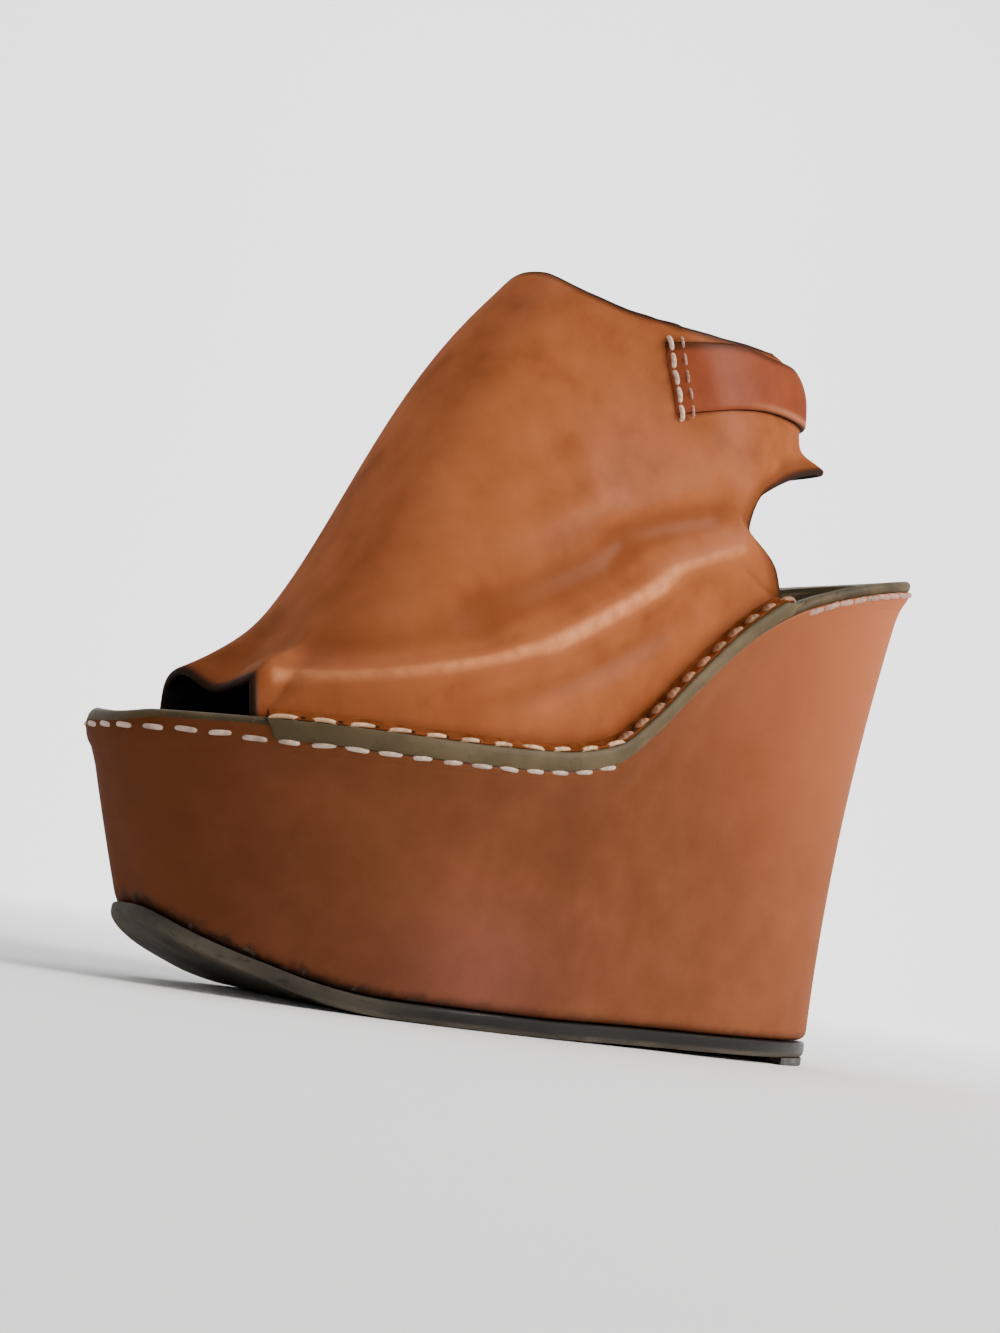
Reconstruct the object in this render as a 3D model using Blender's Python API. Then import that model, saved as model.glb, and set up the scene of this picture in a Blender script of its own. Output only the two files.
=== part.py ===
"""Left platform wedge sandal: a hollow open-toe leather upper with a sling heel on a covered wedge.

Tables and sizes are in millimetres. Stations run along the footbed from 0 at the toe to 1 at the
heel. The outer side of the foot is on -Y, the toe points to -X and the sole stands on z = 0.
"""
from collections import namedtuple

import bmesh
import bpy
import numpy as np

MM = 0.001

# Footbed
LENGTH = 240.0
TOE_ROUNDNESS = 0.6
HEEL_ROUNDNESS = 0.68
FOOTBED_EDGE = 3.6
CLEARANCE = 0.3
INSOLE_MARGIN = 8.2
INSOLE_THICKNESS = 1.4

# Wedge and soles
WEDGE_TUCK = 1.6
TOE_DRAW = 15.0
HEEL_DRAW = 15.5
SIDE_DRAW = 6.0
TOE_BELLY = 1.2
SIDE_BELLY = 0.72
HEEL_HOLLOW = 4.6
TOE_SPRING = 16.5
SPRING_END = 70.0
SPRING_POWER = 2.1
FLAT_END = 112.0
HEEL_LIFT = 2.4
OUTSOLE_THICKNESS = 4.4
OUTSOLE_LIP = 1.4
HEEL_TIP_FRONT = 204.0
HEEL_TIP_INSET = 0.4

# Welt and upper
WELT_WIDTH = 3.5
WELT_THICKNESS = 2.3
WELT_SET_BACK = 0.4
UPPER_WALL = 2.0
TOPLINE_FRONT = 97.0
TOPLINE_BACK = 180.0
TOPLINE_ROUNDNESS = 0.75
CREASE_SPREAD = 0.03
CREASE_RISE = 0.35
FLANK = 25.0

# Sling strap end
TAB_THICKNESS = 1.5
TAB_GAP = 0.45
TAB_FRONT_TOP = 0.322
TAB_BACK_TOP = 0.985

# Mesh fineness
OUTLINE_POINTS = 112
HEEL_TIP_POINTS = 13
WELT_COLUMNS = 44
UPPER_COLUMNS = 116
UPPER_ROWS = 12
TAB_COLUMNS = 26
TAB_ROWS = 6
TAB_LADDER = 80
TAB_PASSES = 5
CREASE_STEPS = 9

# Insets of each piece's rings at levels from its foot to its crown
Rim = namedtuple("Rim", "level inset")
OUTSOLE_RIMS = [Rim(0.0, 1.2), Rim(0.3, 0.0), Rim(1.0, 0.0)]
FOOTBED_RIMS = [Rim(0.0, 0.7), Rim(0.2, 0.0), Rim(0.8, 0.0), Rim(1.0, 0.7)]
WEDGE_RIMS = [
    Rim(0.00, 1.6),
    Rim(0.02, 0.4),
    Rim(0.06, 0.0),
    Rim(0.20, 0.0),
    Rim(0.40, 0.0),
    Rim(0.60, 0.0),
    Rim(0.80, 0.0),
    Rim(0.95, 0.0),
    Rim(0.99, 0.3),
    Rim(1.00, 1.0),
]

# Lower and upper edge of the strap end over the floor, from its front to the back of the heel
TabEdge = namedtuple("TabEdge", "x low high")
TAB_EDGES = [
    TabEdge(124.0, 159.8, 178.8),
    TabEdge(134.6, 163.3, 181.6),
    TabEdge(151.4, 168.4, 185.2),
    TabEdge(161.5, 170.5, 186.0),
    TabEdge(176.0, 172.0, 186.6),
    TabEdge(192.0, 173.6, 186.9),
]

# Ends of the welt strips on each side of the footbed
Welt = namedtuple("Welt", "name side toe_station heel_station")
WELTS = [
    Welt("welt_lateral", -1, 0.108, 0.742),
    Welt("welt_medial", 1, 0.122, 0.726),
]

# Half widths of the footbed beside its axis
Width = namedtuple("Width", "station lateral medial")
FOOTBED_WIDTH = [
    Width(0.00, 34.0, 36.0),
    Width(0.12, 43.5, 42.5),
    Width(0.27, 48.0, 44.0),
    Width(0.45, 44.0, 37.5),
    Width(0.65, 37.8, 29.0),
    Width(0.84, 39.2, 35.5),
    Width(1.00, 38.0, 38.0),
]

# Height of the footbed's lower edge
Height = namedtuple("Height", "station height")
FOOTBED_HEIGHT = [
    Height(0.00, 55.5),
    Height(0.16, 58.7),
    Height(0.30, 60.3),
    Height(0.42, 63.0),
    Height(0.49, 67.5),
    Height(0.54, 76.5),
    Height(0.60, 90.8),
    Height(0.68, 108.8),
    Height(0.76, 121.0),
    Height(0.86, 129.8),
    Height(1.00, 138.5),
]

# The topline: half widths and heights at fractions of the way from the front peak to the heel
Topline = namedtuple("Topline", "fraction lateral medial height")
TOPLINE = [
    Topline(0.00, 24.0, 23.0, 195.0),
    Topline(0.10, 27.0, 26.0, 189.5),
    Topline(0.25, 29.0, 28.0, 185.8),
    Topline(0.42, 30.0, 28.5, 185.0),
    Topline(0.70, 30.0, 29.0, 187.0),
    Topline(0.90, 29.0, 28.5, 188.6),
    Topline(1.00, 28.0, 28.0, 189.0),
]

# Sections round the upper, from the toe lip by the outer side to the heel and back.
# Each one rises from its foot, which lies inset from the footbed's edge and lifted over it, to a
# fraction of the topline. Belly and chest push it out low and high up, sweep carries it forward.
Section = namedtuple("Section", "side station inset lift top belly chest sweep")
UPPER = [
    Section(-1, 0.110, 32.2, 9.7, 0.000, -6.5, 4.5, 0.0),
    Section(-1, 0.102, 17.0, 11.0, 0.012, -6.5, 4.0, 0.0),
    Section(-1, 0.098, 7.5, 12.3, 0.030, -7.5, 3.0, 0.0),
    Section(-1, 0.104, 4.3, 0.3, 0.040, -5.5, 3.0, 0.0),
    Section(-1, 0.170, 4.3, 0.3, 0.065, 0.5, 2.5, 0.0),
    Section(-1, 0.270, 4.3, 0.3, 0.100, 4.0, 1.0, 0.0),
    Section(-1, 0.370, 4.3, 0.3, 0.140, 5.0, 0.5, 0.0),
    Section(-1, 0.460, 4.3, 0.3, 0.190, 5.5, 0.5, 0.0),
    Section(-1, 0.540, 4.3, 0.3, 0.255, 5.5, 0.5, 0.0),
    Section(-1, 0.620, 4.3, 0.3, 0.335, 5.0, 0.5, -4.0),
    Section(-1, 0.690, 4.3, 0.3, 0.425, 4.0, 0.5, -10.0),
    Section(-1, 0.728, 4.3, 0.3, 0.480, 2.0, 0.5, -14.0),
    Section(-1, 0.711, 4.0, 11.5, 0.515, 1.5, 0.5, -11.0),
    Section(-1, 0.660, 4.2, 30.0, 0.557, 1.5, 0.5, -1.0),
    Section(-1, 0.680, 5.6, 36.5, 0.622, 0.7, 0.5, 0.0),
    Section(-1, 0.735, 9.6, 35.5, 0.755, -0.5, 1.0, 0.0),
    Section(-1, 0.808, 15.6, 34.0, 0.930, -2.0, 4.5, 0.0),
    Section(-1, 0.812, 32.4, 33.0, 1.000, 1.5, 5.5, 0.0),
    Section(1, 0.785, 14.0, 33.0, 0.930, 1.0, 3.5, 0.0),
    Section(1, 0.735, 6.2, 30.5, 0.755, 0.5, 1.0, 0.0),
    Section(1, 0.690, 3.6, 28.5, 0.622, 0.5, 0.5, 0.0),
    Section(1, 0.662, 3.0, 25.0, 0.545, 1.0, 0.5, -1.0),
    Section(1, 0.690, 3.6, 9.5, 0.510, 1.5, 0.5, -8.0),
    Section(1, 0.712, 4.3, 0.3, 0.475, 2.0, 0.5, -11.0),
    Section(1, 0.670, 4.3, 0.3, 0.420, 3.0, 0.5, -8.0),
    Section(1, 0.610, 4.3, 0.3, 0.335, 3.5, 0.5, -4.0),
    Section(1, 0.530, 4.3, 0.3, 0.255, 4.0, 0.5, 0.0),
    Section(1, 0.450, 4.3, 0.3, 0.190, 4.5, 0.5, 0.0),
    Section(1, 0.360, 4.3, 0.3, 0.140, 4.5, 0.5, 0.0),
    Section(1, 0.270, 4.3, 0.3, 0.100, 3.0, 1.0, 0.0),
    Section(1, 0.185, 4.3, 0.3, 0.065, 0.0, 2.5, 0.0),
    Section(1, 0.118, 4.3, 0.3, 0.040, -5.5, 3.0, 0.0),
    Section(1, 0.112, 5.2, 9.5, 0.030, -8.0, 3.0, 0.0),
    Section(1, 0.100, 16.4, 14.0, 0.012, -9.0, 4.0, 0.0),
]


def smooth(knots, values, at):
    """Read a curve through the knots that never swings past neighbouring values."""
    knots = np.asarray(knots, float)
    values = np.asarray(values, float)
    table = values.reshape(len(knots), -1)
    gap = np.diff(knots)[:, None]
    rise = np.diff(table, axis=0) / gap
    same_way = rise[:-1] * rise[1:] > 0
    total = np.where(same_way, rise[:-1] + rise[1:], 1.0)
    slope = np.empty_like(table)
    slope[0] = rise[0]
    slope[-1] = rise[-1]
    slope[1:-1] = np.where(same_way, 2 * rise[:-1] * rise[1:] / total, 0.0)
    at = np.atleast_1d(np.asarray(at, float))
    low = np.clip(np.searchsorted(knots, at, side="right") - 1, 0, len(gap) - 1)
    t = ((at - knots[low]) / gap[low, 0])[:, None]
    keep = (1 + 2 * t) * (1 - t) ** 2
    lead = t * (1 - t) ** 2 * gap[low]
    tail = -(t**2) * (1 - t) * gap[low]
    read = keep * table[low] + (1 - keep) * table[low + 1] + lead * slope[low] + tail * slope[low + 1]
    return read[:, 0] if values.ndim == 1 else read


def bump(v, rise, fall):
    """Swell from nothing over a peak of one, at rise out of rise plus fall, back to nothing."""
    peak = rise / (rise + fall)
    return v**rise * (1 - v) ** fall / (peak**rise * (1 - peak) ** fall)


def column(table, name):
    """One named column of a table of rows."""
    return np.array([getattr(row, name) for row in table])


def end_rounding(station):
    """Share of the half width left near toe and heel."""
    station = np.clip(station, 0.0, 1.0)
    sine = np.sqrt(1 - (1 - 2 * station) ** 2)
    return sine ** (TOE_ROUNDNESS + (HEEL_ROUNDNESS - TOE_ROUNDNESS) * station)


def half_width(side, station, inset=0.0):
    """Half width of the footbed on one side of its axis, drawn in by an inset."""
    name = "lateral" if side < 0 else "medial"
    widths = smooth(column(FOOTBED_WIDTH, "station"), column(FOOTBED_WIDTH, name), station)
    return (widths - inset) * end_rounding(station)


def edge_height(x):
    """Height of the footbed's lower edge over the floor."""
    return smooth(column(FOOTBED_HEIGHT, "station"), column(FOOTBED_HEIGHT, "height"), x / LENGTH)


def footbed_top(x):
    """Height of the footbed's upper face."""
    return edge_height(x) + FOOTBED_EDGE


def sole_height(x):
    """Height of the outsole's underside: sprung toe, flat ball, slow rise to the heel."""
    x = np.asarray(x, float)
    toe = np.clip((SPRING_END - x) / (SPRING_END - TOE_DRAW), 0.0, None)
    heel = np.clip((x - FLAT_END) / (LENGTH - HEEL_DRAW - FLAT_END), 0.0, None)
    return TOE_SPRING * toe**SPRING_POWER + HEEL_LIFT * heel


ANGLES = np.linspace(0.0, 2 * np.pi, OUTLINE_POINTS, endpoint=False)
OUTLINE_STATION = (1 - np.cos(ANGLES)) / 2
OUTLINE_SIDE = np.where(ANGLES <= np.pi, -1, 1)


def half_widths(inset):
    """Half widths round the whole outline, outer side first."""
    lateral = half_width(-1, OUTLINE_STATION, inset)
    medial = half_width(1, OUTLINE_STATION, inset)
    return np.where(OUTLINE_SIDE < 0, lateral, medial)


EDGE_HALF = half_widths(0.0)
AXIS_Y = (EDGE_HALF[OUTLINE_SIDE < 0].max() - EDGE_HALF[OUTLINE_SIDE > 0].max()) / 2


def outline(toe_inset, heel_inset, side_inset):
    """Ring of x and y round the foot, drawn in at the toe, the heel and the sides."""
    x = toe_inset + (LENGTH - toe_inset - heel_inset) * OUTLINE_STATION
    return x, OUTLINE_SIDE * half_widths(side_inset)


def ring(x, y, z):
    """Points of one ring."""
    return np.column_stack([x, y, np.broadcast_to(z, x.shape)])


def new_object(name, points, faces, material):
    """Mesh object in metres, centred on the sole's length and breadth, with faces turned out."""
    placed = (np.asarray(points) + [-LENGTH / 2, AXIS_Y, 0.0]) * MM
    mesh = bpy.data.meshes.new(name)
    mesh.from_pydata(placed.tolist(), [], faces)
    shell = bmesh.new()
    shell.from_mesh(mesh)
    bmesh.ops.remove_doubles(shell, verts=shell.verts, dist=1e-7)
    bmesh.ops.recalc_face_normals(shell, faces=shell.faces)
    shell.to_mesh(mesh)
    shell.free()
    mesh.materials.append(material)
    piece = bpy.data.objects.new(name, mesh)
    bpy.context.scene.collection.objects.link(piece)
    return piece


def leather(name, colour, roughness):
    """Plain material of one piece."""
    material = bpy.data.materials.new(name)
    material.use_nodes = True
    shader = material.node_tree.nodes["Principled BSDF"]
    shader.inputs["Base Color"].default_value = (*colour, 1.0)
    shader.inputs["Roughness"].default_value = roughness
    shader.inputs["Metallic"].default_value = 0.0
    return material


def stacked(name, rings, material):
    """Solid from rings stacked on one another, closed by rungs across its first and last ring."""
    count = len(rings[0])
    faces = []
    for level in range(len(rings) - 1):
        base = level * count
        for k in range(count):
            after = (k + 1) % count
            faces.append((base + k, base + after, base + count + after, base + count + k))
    for base in (0, (len(rings) - 1) * count):
        for k in range(count // 2):
            rung = [base + k, base + k + 1, base + (count - k - 1) % count, base + (count - k) % count]
            faces.append(tuple(dict.fromkeys(rung)))
    return new_object(name, np.vstack(rings), faces, material)


def thick_patch(name, face, back, material, round_shut=False):
    """Sheet between two grids of points, closed along its edges, or a ring of it shut on itself."""
    columns, rows = face.shape[:2]
    layer = columns * rows

    def corner(c, r, side):
        return side * layer + (c % columns) * rows + r

    faces = []
    last = columns if round_shut else columns - 1
    for c in range(last):
        for r in range(rows - 1):
            for side in (0, 1):
                faces.append([corner(c, r, side), corner(c + 1, r, side),
                              corner(c + 1, r + 1, side), corner(c, r + 1, side)])
        for r in (0, rows - 1):
            faces.append([corner(c, r, 0), corner(c + 1, r, 0), corner(c + 1, r, 1), corner(c, r, 1)])
    if not round_shut:
        for c in (0, columns - 1):
            for r in range(rows - 1):
                faces.append([corner(c, r, 0), corner(c, r + 1, 0), corner(c, r + 1, 1), corner(c, r, 1)])
    points = np.vstack([face.reshape(-1, 3), back.reshape(-1, 3)])
    return new_object(name, points, faces, material)


def build_outsole():
    """Thin sole with a small lip at the toe and a rounded lower edge."""
    rings = []
    for level, inset in OUTSOLE_RIMS:
        x, y = outline(TOE_DRAW - OUTSOLE_LIP + inset, HEEL_DRAW + inset, SIDE_DRAW + inset)
        rings.append(ring(x, y, sole_height(x) + OUTSOLE_THICKNESS * level))
    return stacked("outsole", rings, leather("outsole_leather", (0.055, 0.048, 0.043), 0.85))


def build_heel_tip():
    """Top piece under the back of the outsole, flat on the floor with a straight front edge."""
    sole_length = LENGTH - HEEL_DRAW - TOE_DRAW
    front_turn = np.arccos(1 - 2 * (HEEL_TIP_FRONT - TOE_DRAW) / sole_length)
    turn = np.linspace(front_turn, np.pi, HEEL_TIP_POINTS)
    station = (1 - np.cos(turn)) / 2
    lateral = -half_width(-1, station, SIDE_DRAW + HEEL_TIP_INSET)
    medial = half_width(1, station, SIDE_DRAW + HEEL_TIP_INSET)
    x = TOE_DRAW + (sole_length - HEEL_TIP_INSET) * np.concatenate([station, station[-2::-1]])
    y = np.concatenate([lateral, medial[-2::-1]])
    rings = [ring(x, y, 0.0), ring(x, y, sole_height(x) - CLEARANCE)]
    count = len(x)
    faces = []
    for k in range(count):
        after = (k + 1) % count
        faces.append((k, after, count + after, count + k))
    for base in (0, count):
        for k in range(count // 2):
            rung = [base + k, base + k + 1, base + count - k - 2, base + count - k - 1]
            if len(set(rung)) > 2:
                faces.append(tuple(dict.fromkeys(rung)))
    return new_object("heel_tip", np.vstack(rings), faces, leather("heel_rubber", (0.03, 0.027, 0.025), 0.7))


def build_wedge():
    """Leather-covered wedge: walls drawn in to the sole, a soft belly and rounded rims."""
    rings = []
    for level, inset in WEDGE_RIMS:
        arch = bump(level, 1, 1)
        toe = TOE_DRAW + (WEDGE_TUCK - TOE_DRAW) * level + inset - TOE_BELLY * arch
        heel = HEEL_DRAW + (WEDGE_TUCK - HEEL_DRAW) * level + inset + HEEL_HOLLOW * arch
        side = SIDE_DRAW + (WEDGE_TUCK - SIDE_DRAW) * level + inset - SIDE_BELLY * arch
        x, y = outline(toe, heel, side)
        foot = sole_height(x) + OUTSOLE_THICKNESS + CLEARANCE
        crown = edge_height(x) - CLEARANCE
        rings.append(ring(x, y, foot + (crown - foot) * level))
    return stacked("wedge", rings, leather("wedge_leather", (0.36, 0.115, 0.045), 0.42))


def build_footbed():
    """Board under the foot with its bound edge standing out over the wedge."""
    rings = []
    for level, inset in FOOTBED_RIMS:
        x, y = outline(inset, inset, inset)
        rings.append(ring(x, y, edge_height(x) + FOOTBED_EDGE * level))
    return stacked("footbed", rings, leather("edge_leather", (0.13, 0.10, 0.062), 0.62))


def build_insole():
    """Thin sock lining laid on the footbed inside the upper."""
    x, y = outline(INSOLE_MARGIN, INSOLE_MARGIN, INSOLE_MARGIN)
    floor = footbed_top(x) + CLEARANCE
    rings = [ring(x, y, floor), ring(x, y, floor + INSOLE_THICKNESS)]
    return stacked("insole", rings, leather("sock_leather", (0.02, 0.015, 0.012), 0.8))


def build_welt(name, side, toe_station, heel_station):
    """Flat strip on the footbed's margin along the foot of the upper on one side."""
    turn = np.linspace(np.arccos(1 - 2 * toe_station), np.arccos(1 - 2 * heel_station), WELT_COLUMNS)
    station = (1 - np.cos(turn)) / 2
    x = LENGTH * station
    edge = half_width(side, station)
    levels = []
    for lift in (CLEARANCE, CLEARANCE + WELT_THICKNESS):
        across = []
        for inset in (WELT_SET_BACK, WELT_WIDTH):
            across.append(np.column_stack([x, side * (edge - inset), footbed_top(x) + lift]))
        levels.append(np.stack(across, axis=1))
    return thick_patch(name, levels[1], levels[0], leather(name + "_leather", (0.15, 0.115, 0.07), 0.6))


def topline(side, fraction):
    """Points of the upper's rim on one side."""
    fraction = np.asarray(fraction, float)
    name = "lateral" if side < 0 else "medial"
    knots = column(TOPLINE, "fraction")
    half = smooth(knots, column(TOPLINE, name), fraction)
    cosine = 1 - 2 * np.clip(fraction, 0.0, 1.0)
    y = side * half * np.sqrt(1 - cosine**2) ** TOPLINE_ROUNDNESS
    x = TOPLINE_FRONT + (TOPLINE_BACK - TOPLINE_FRONT) * fraction
    return np.column_stack([x, y, smooth(knots, column(TOPLINE, "height"), fraction)])


def section_rows():
    """Foot, top, outward heading and swells of each section of the upper."""
    feet = []
    tops = []
    headings = []
    for row in UPPER:
        x = LENGTH * row.station
        y = row.side * (half_width(row.side, row.station)[0] - row.inset)
        feet.append((x, y, row.lift))
        top = topline(row.side, [row.top])[0]
        nearby = np.clip([row.top - 0.01, row.top + 0.01], 0.0, 1.0)
        before, after = topline(row.side, nearby)
        along = (after - before) * (1 if row.side < 0 else -1)
        if row.top in (0.0, 1.0):
            along = np.array([0.0, -1.0 if row.top == 0.0 else 1.0, 0.0])
        rise = top - [x, y, footbed_top(np.array([x]))[0] + row.lift]
        out = np.cross(along, rise)
        tops.append(top)
        headings.append(out / np.linalg.norm(out))
    swells = np.array([(row.belly, row.chest, row.sweep) for row in UPPER])
    return np.hstack([feet, tops, headings, swells])


SECTIONS = section_rows()
SPAN = np.linalg.norm(np.diff(np.vstack([SECTIONS, SECTIONS[:1]])[:, :6], axis=0), axis=1)
AROUND = np.concatenate([[0.0], np.cumsum(SPAN)]) / SPAN.sum()
WRAP = 4
RING_KNOTS = np.concatenate([AROUND[-WRAP - 1:-1] - 1, AROUND[:-1], AROUND[:WRAP + 1] + 1])
RING_TABLE = np.vstack([SECTIONS[-WRAP:], SECTIONS, SECTIONS[:WRAP + 1]])


def read_sections(around):
    """Foot, top, heading and swells at fractions round the foot."""
    read = smooth(RING_KNOTS, RING_TABLE, around)
    read[:, 2] += footbed_top(read[:, 0])
    return read


def upper_grid(around, up):
    """Outer face of the upper at fractions round the foot (columns) and up each section (rows).

    Corners of the foot line fade out up the wall, where each section follows its neighbours.
    """
    sharp = read_sections(around)
    steps = np.linspace(-CREASE_SPREAD, CREASE_SPREAD, CREASE_STEPS)
    soft = np.mean([read_sections(around + step) for step in steps], axis=0)
    v = np.broadcast_to(np.asarray(up, float), (len(sharp), np.shape(up)[-1]))[..., None]
    fade = np.clip(v / CREASE_RISE, 0.0, 1.0)
    fade = fade**2 * (3 - 2 * fade)
    foot = sharp[:, None, :3] + (soft - sharp)[:, None, :3] * fade
    top = sharp[:, None, 3:6]
    out = soft[:, 6:9] / np.linalg.norm(soft[:, 6:9], axis=1)[:, None]
    low = bump(v, 1, 3)
    high = bump(v, 2, 1)
    swell = soft[:, None, 9:10] * low + soft[:, None, 10:11] * high
    points = foot + (top - foot) * v + out[:, None] * swell
    points[..., 0] += (soft[:, None, 11:12] * low)[..., 0]
    return points


def outward(points, round_shut):
    """Unit normals of a grid on the upper, pointing away from the foot."""
    if round_shut:
        along = np.roll(points, -1, axis=0) - np.roll(points, 1, axis=0)
    else:
        along = np.gradient(points, axis=0)
    normal = np.cross(along, np.gradient(points, axis=1))
    y = points[..., 1]
    inwards = (y * normal[..., 1] < 0) & (np.abs(y) > FLANK)
    normal[inwards] *= -1
    return normal / np.linalg.norm(normal, axis=2)[..., None]


def build_upper():
    """Hollow leather wall from the toe lip and welts up to the topline, open below."""
    around = np.linspace(0.0, 1.0, UPPER_COLUMNS, endpoint=False)
    face = upper_grid(around, np.linspace(0.0, 1.0, UPPER_ROWS))
    back = face - outward(face, True) * UPPER_WALL
    lift = face[:, 0, 2] - footbed_top(face[:, 0, 0])
    back[:, 0, 2] = footbed_top(back[:, 0, 0]) + lift
    return thick_patch("upper", face, back, leather("upper_leather", (0.45, 0.155, 0.05), 0.38), True)


def tab_height(x, across):
    """Height over the floor at a share of the way across the strap end."""
    knots = column(TAB_EDGES, "x")
    low = smooth(knots, column(TAB_EDGES, "low"), x)
    high = smooth(knots, column(TAB_EDGES, "high"), x)
    return low + (high - low) * across


def build_sling_tab():
    """Strap end laid over the outer quarter, from its sewn front edge to the back of the heel."""
    outer = [k for k, row in enumerate(UPPER) if row.side < 0]
    tops = np.linspace(TAB_FRONT_TOP, TAB_BACK_TOP, TAB_COLUMNS)
    around = np.interp(tops, column(UPPER, "top")[outer], AROUND[outer])
    ladder = np.linspace(0.0, 1.0, TAB_LADDER)
    wall = upper_grid(around, ladder)
    rows = []
    for across in np.linspace(0.0, 1.0, TAB_ROWS):
        x = wall[:, -1, 0]
        for _ in range(TAB_PASSES):
            wanted = tab_height(x, across)
            up = np.array([np.interp(want, line[:, 2], ladder) for want, line in zip(wanted, wall)])
            x = np.array([np.interp(share, ladder, line[:, 0]) for share, line in zip(up, wall)])
        rows.append(up)
    seat = upper_grid(around, np.stack(rows, axis=1))
    out = outward(seat, False)
    face = seat + out * (TAB_GAP + TAB_THICKNESS)
    back = seat + out * TAB_GAP
    return thick_patch("sling_tab", face, back, leather("tab_leather", (0.33, 0.095, 0.04), 0.4))


def main():
    """Clear the scene and build every piece."""
    for item in list(bpy.data.objects):
        bpy.data.objects.remove(item, do_unlink=True)
    build_outsole()
    build_heel_tip()
    build_wedge()
    build_footbed()
    build_insole()
    for name, side, toe_station, heel_station in WELTS:
        build_welt(name, side, toe_station, heel_station)
    build_upper()
    build_sling_tab()


main()
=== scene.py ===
"""Left platform wedge sandal in tan leather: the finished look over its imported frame.

Tables are in millimetres from the toe tip. The toe points to -X, the outer side of the foot is
on -Y and the sole stands on z = 0.
"""
from collections import namedtuple

import bpy
import numpy as np
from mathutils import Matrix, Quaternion, Vector


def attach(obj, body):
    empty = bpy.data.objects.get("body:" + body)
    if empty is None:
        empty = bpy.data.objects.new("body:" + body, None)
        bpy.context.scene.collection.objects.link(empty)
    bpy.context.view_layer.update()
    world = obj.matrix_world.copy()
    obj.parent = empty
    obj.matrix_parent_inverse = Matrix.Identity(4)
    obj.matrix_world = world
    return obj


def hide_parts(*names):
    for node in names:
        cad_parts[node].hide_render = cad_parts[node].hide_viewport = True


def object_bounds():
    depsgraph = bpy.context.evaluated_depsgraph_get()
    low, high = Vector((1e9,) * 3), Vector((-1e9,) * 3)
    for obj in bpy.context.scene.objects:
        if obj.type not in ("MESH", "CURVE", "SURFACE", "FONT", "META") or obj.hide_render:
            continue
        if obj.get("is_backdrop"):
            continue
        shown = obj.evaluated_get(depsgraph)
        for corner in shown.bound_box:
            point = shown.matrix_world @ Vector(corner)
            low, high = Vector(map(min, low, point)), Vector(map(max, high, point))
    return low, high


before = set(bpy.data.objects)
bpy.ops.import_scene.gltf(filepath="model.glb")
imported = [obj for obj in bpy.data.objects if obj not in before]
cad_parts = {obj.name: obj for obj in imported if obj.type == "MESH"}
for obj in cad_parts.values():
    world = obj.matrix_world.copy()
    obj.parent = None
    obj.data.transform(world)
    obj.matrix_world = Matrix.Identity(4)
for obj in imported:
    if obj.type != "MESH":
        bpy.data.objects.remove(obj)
cad_low, cad_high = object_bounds()


# Outsole
# A thin leather sole with a sprung toe, cut from one sheet, worn thinner at the toe and scuffed dark
# grey. It is glued under the wedge, and its rounded edge is blackened and keeps a little polish.
MM = 0.001
LENGTH = (cad_high[0] - cad_low[0]) / MM
TOE_ROUNDNESS = 0.6
HEEL_ROUNDNESS = 0.68
TOE_DRAW = 15.0
HEEL_DRAW = 15.5
SIDE_DRAW = 6.0
TOE_SPRING = 16.5
SPRING_END = 70.0
SPRING_POWER = 2.1
FLAT_END = 112.0
TOE_LOWERED = 2.4
TOE_LOWERING = (12.0, 42.0)
HEEL_LIFT = 2.4
OUTSOLE_THICKNESS = 4.4
TOE_THINNER = 1.5
TOE_THINNING = (15.0, 75.0)
OUTSOLE_LIP = 1.4
OUTLINE_STEPS = 190
SEAM_STATIONS = (0.425, 0.490)
SEAM_STEPS = 36
CRISP_ANGLE = 40.0

Width = namedtuple("Width", "station lateral medial")
FOOTBED_WIDTH = [
    Width(0.00, 34.0, 36.0),
    Width(0.12, 43.5, 42.5),
    Width(0.27, 48.0, 44.0),
    Width(0.45, 44.0, 37.5),
    Width(0.65, 37.8, 29.0),
    Width(0.84, 39.2, 35.5),
    Width(1.00, 38.0, 38.0),
]

# Share of the sole's thickness and inset from its outline, up the rounded edge
Rim = namedtuple("Rim", "level inset")
OUTSOLE_RIMS = [
    Rim(0.00, 1.7),
    Rim(0.03, 1.1),
    Rim(0.09, 0.6),
    Rim(0.20, 0.2),
    Rim(0.38, 0.0),
    Rim(0.80, 0.0),
    Rim(0.93, 0.1),
    Rim(1.00, 0.5),
]

# A cloudy pattern's size in mm, the step that a value takes across a band, and a bump's depth in mm
Pattern = namedtuple("Pattern", "size detail stretch", defaults=[(1.0, 1.0, 1.0)])
Band = namedtuple("Band", "start end low high", defaults=[0.0, 1.0])
Bump = namedtuple("Bump", "depth strength")
PLAIN_GLOSS = 0.5
SOLE_GREY = (0.050, 0.040, 0.030)
SOLE_PALE = (0.105, 0.086, 0.063)
SOLE_BLACK = (0.012, 0.010, 0.008)
SOLE_ROUGHNESS = 0.78
SOLE_GLOSS = 0.15
SOLE_WEAR = Pattern(14.0, 6.0, (0.6, 1.0, 1.0))
SOLE_PALING = Band(0.35, 0.68)
SOLE_DRAG = Pattern(1.6, 4.0, (0.16, 1.0, 1.0))
DRAG_STREAKS = Band(0.56, 0.72, 0.0, 0.6)
DRAG_BUMP = Bump(0.35, 0.5)
SOLE_GRIT = Pattern(0.9, 3.0)
GRIT_BUMP = Bump(0.15, 0.4)
EDGE_POLISH = 0.42
EDGE_BLACKENED = (0.05, 0.4)
TOE_EDGE_BLACK = 0.35
TOE_EDGE_WORN = (40.0, 85.0)


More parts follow.
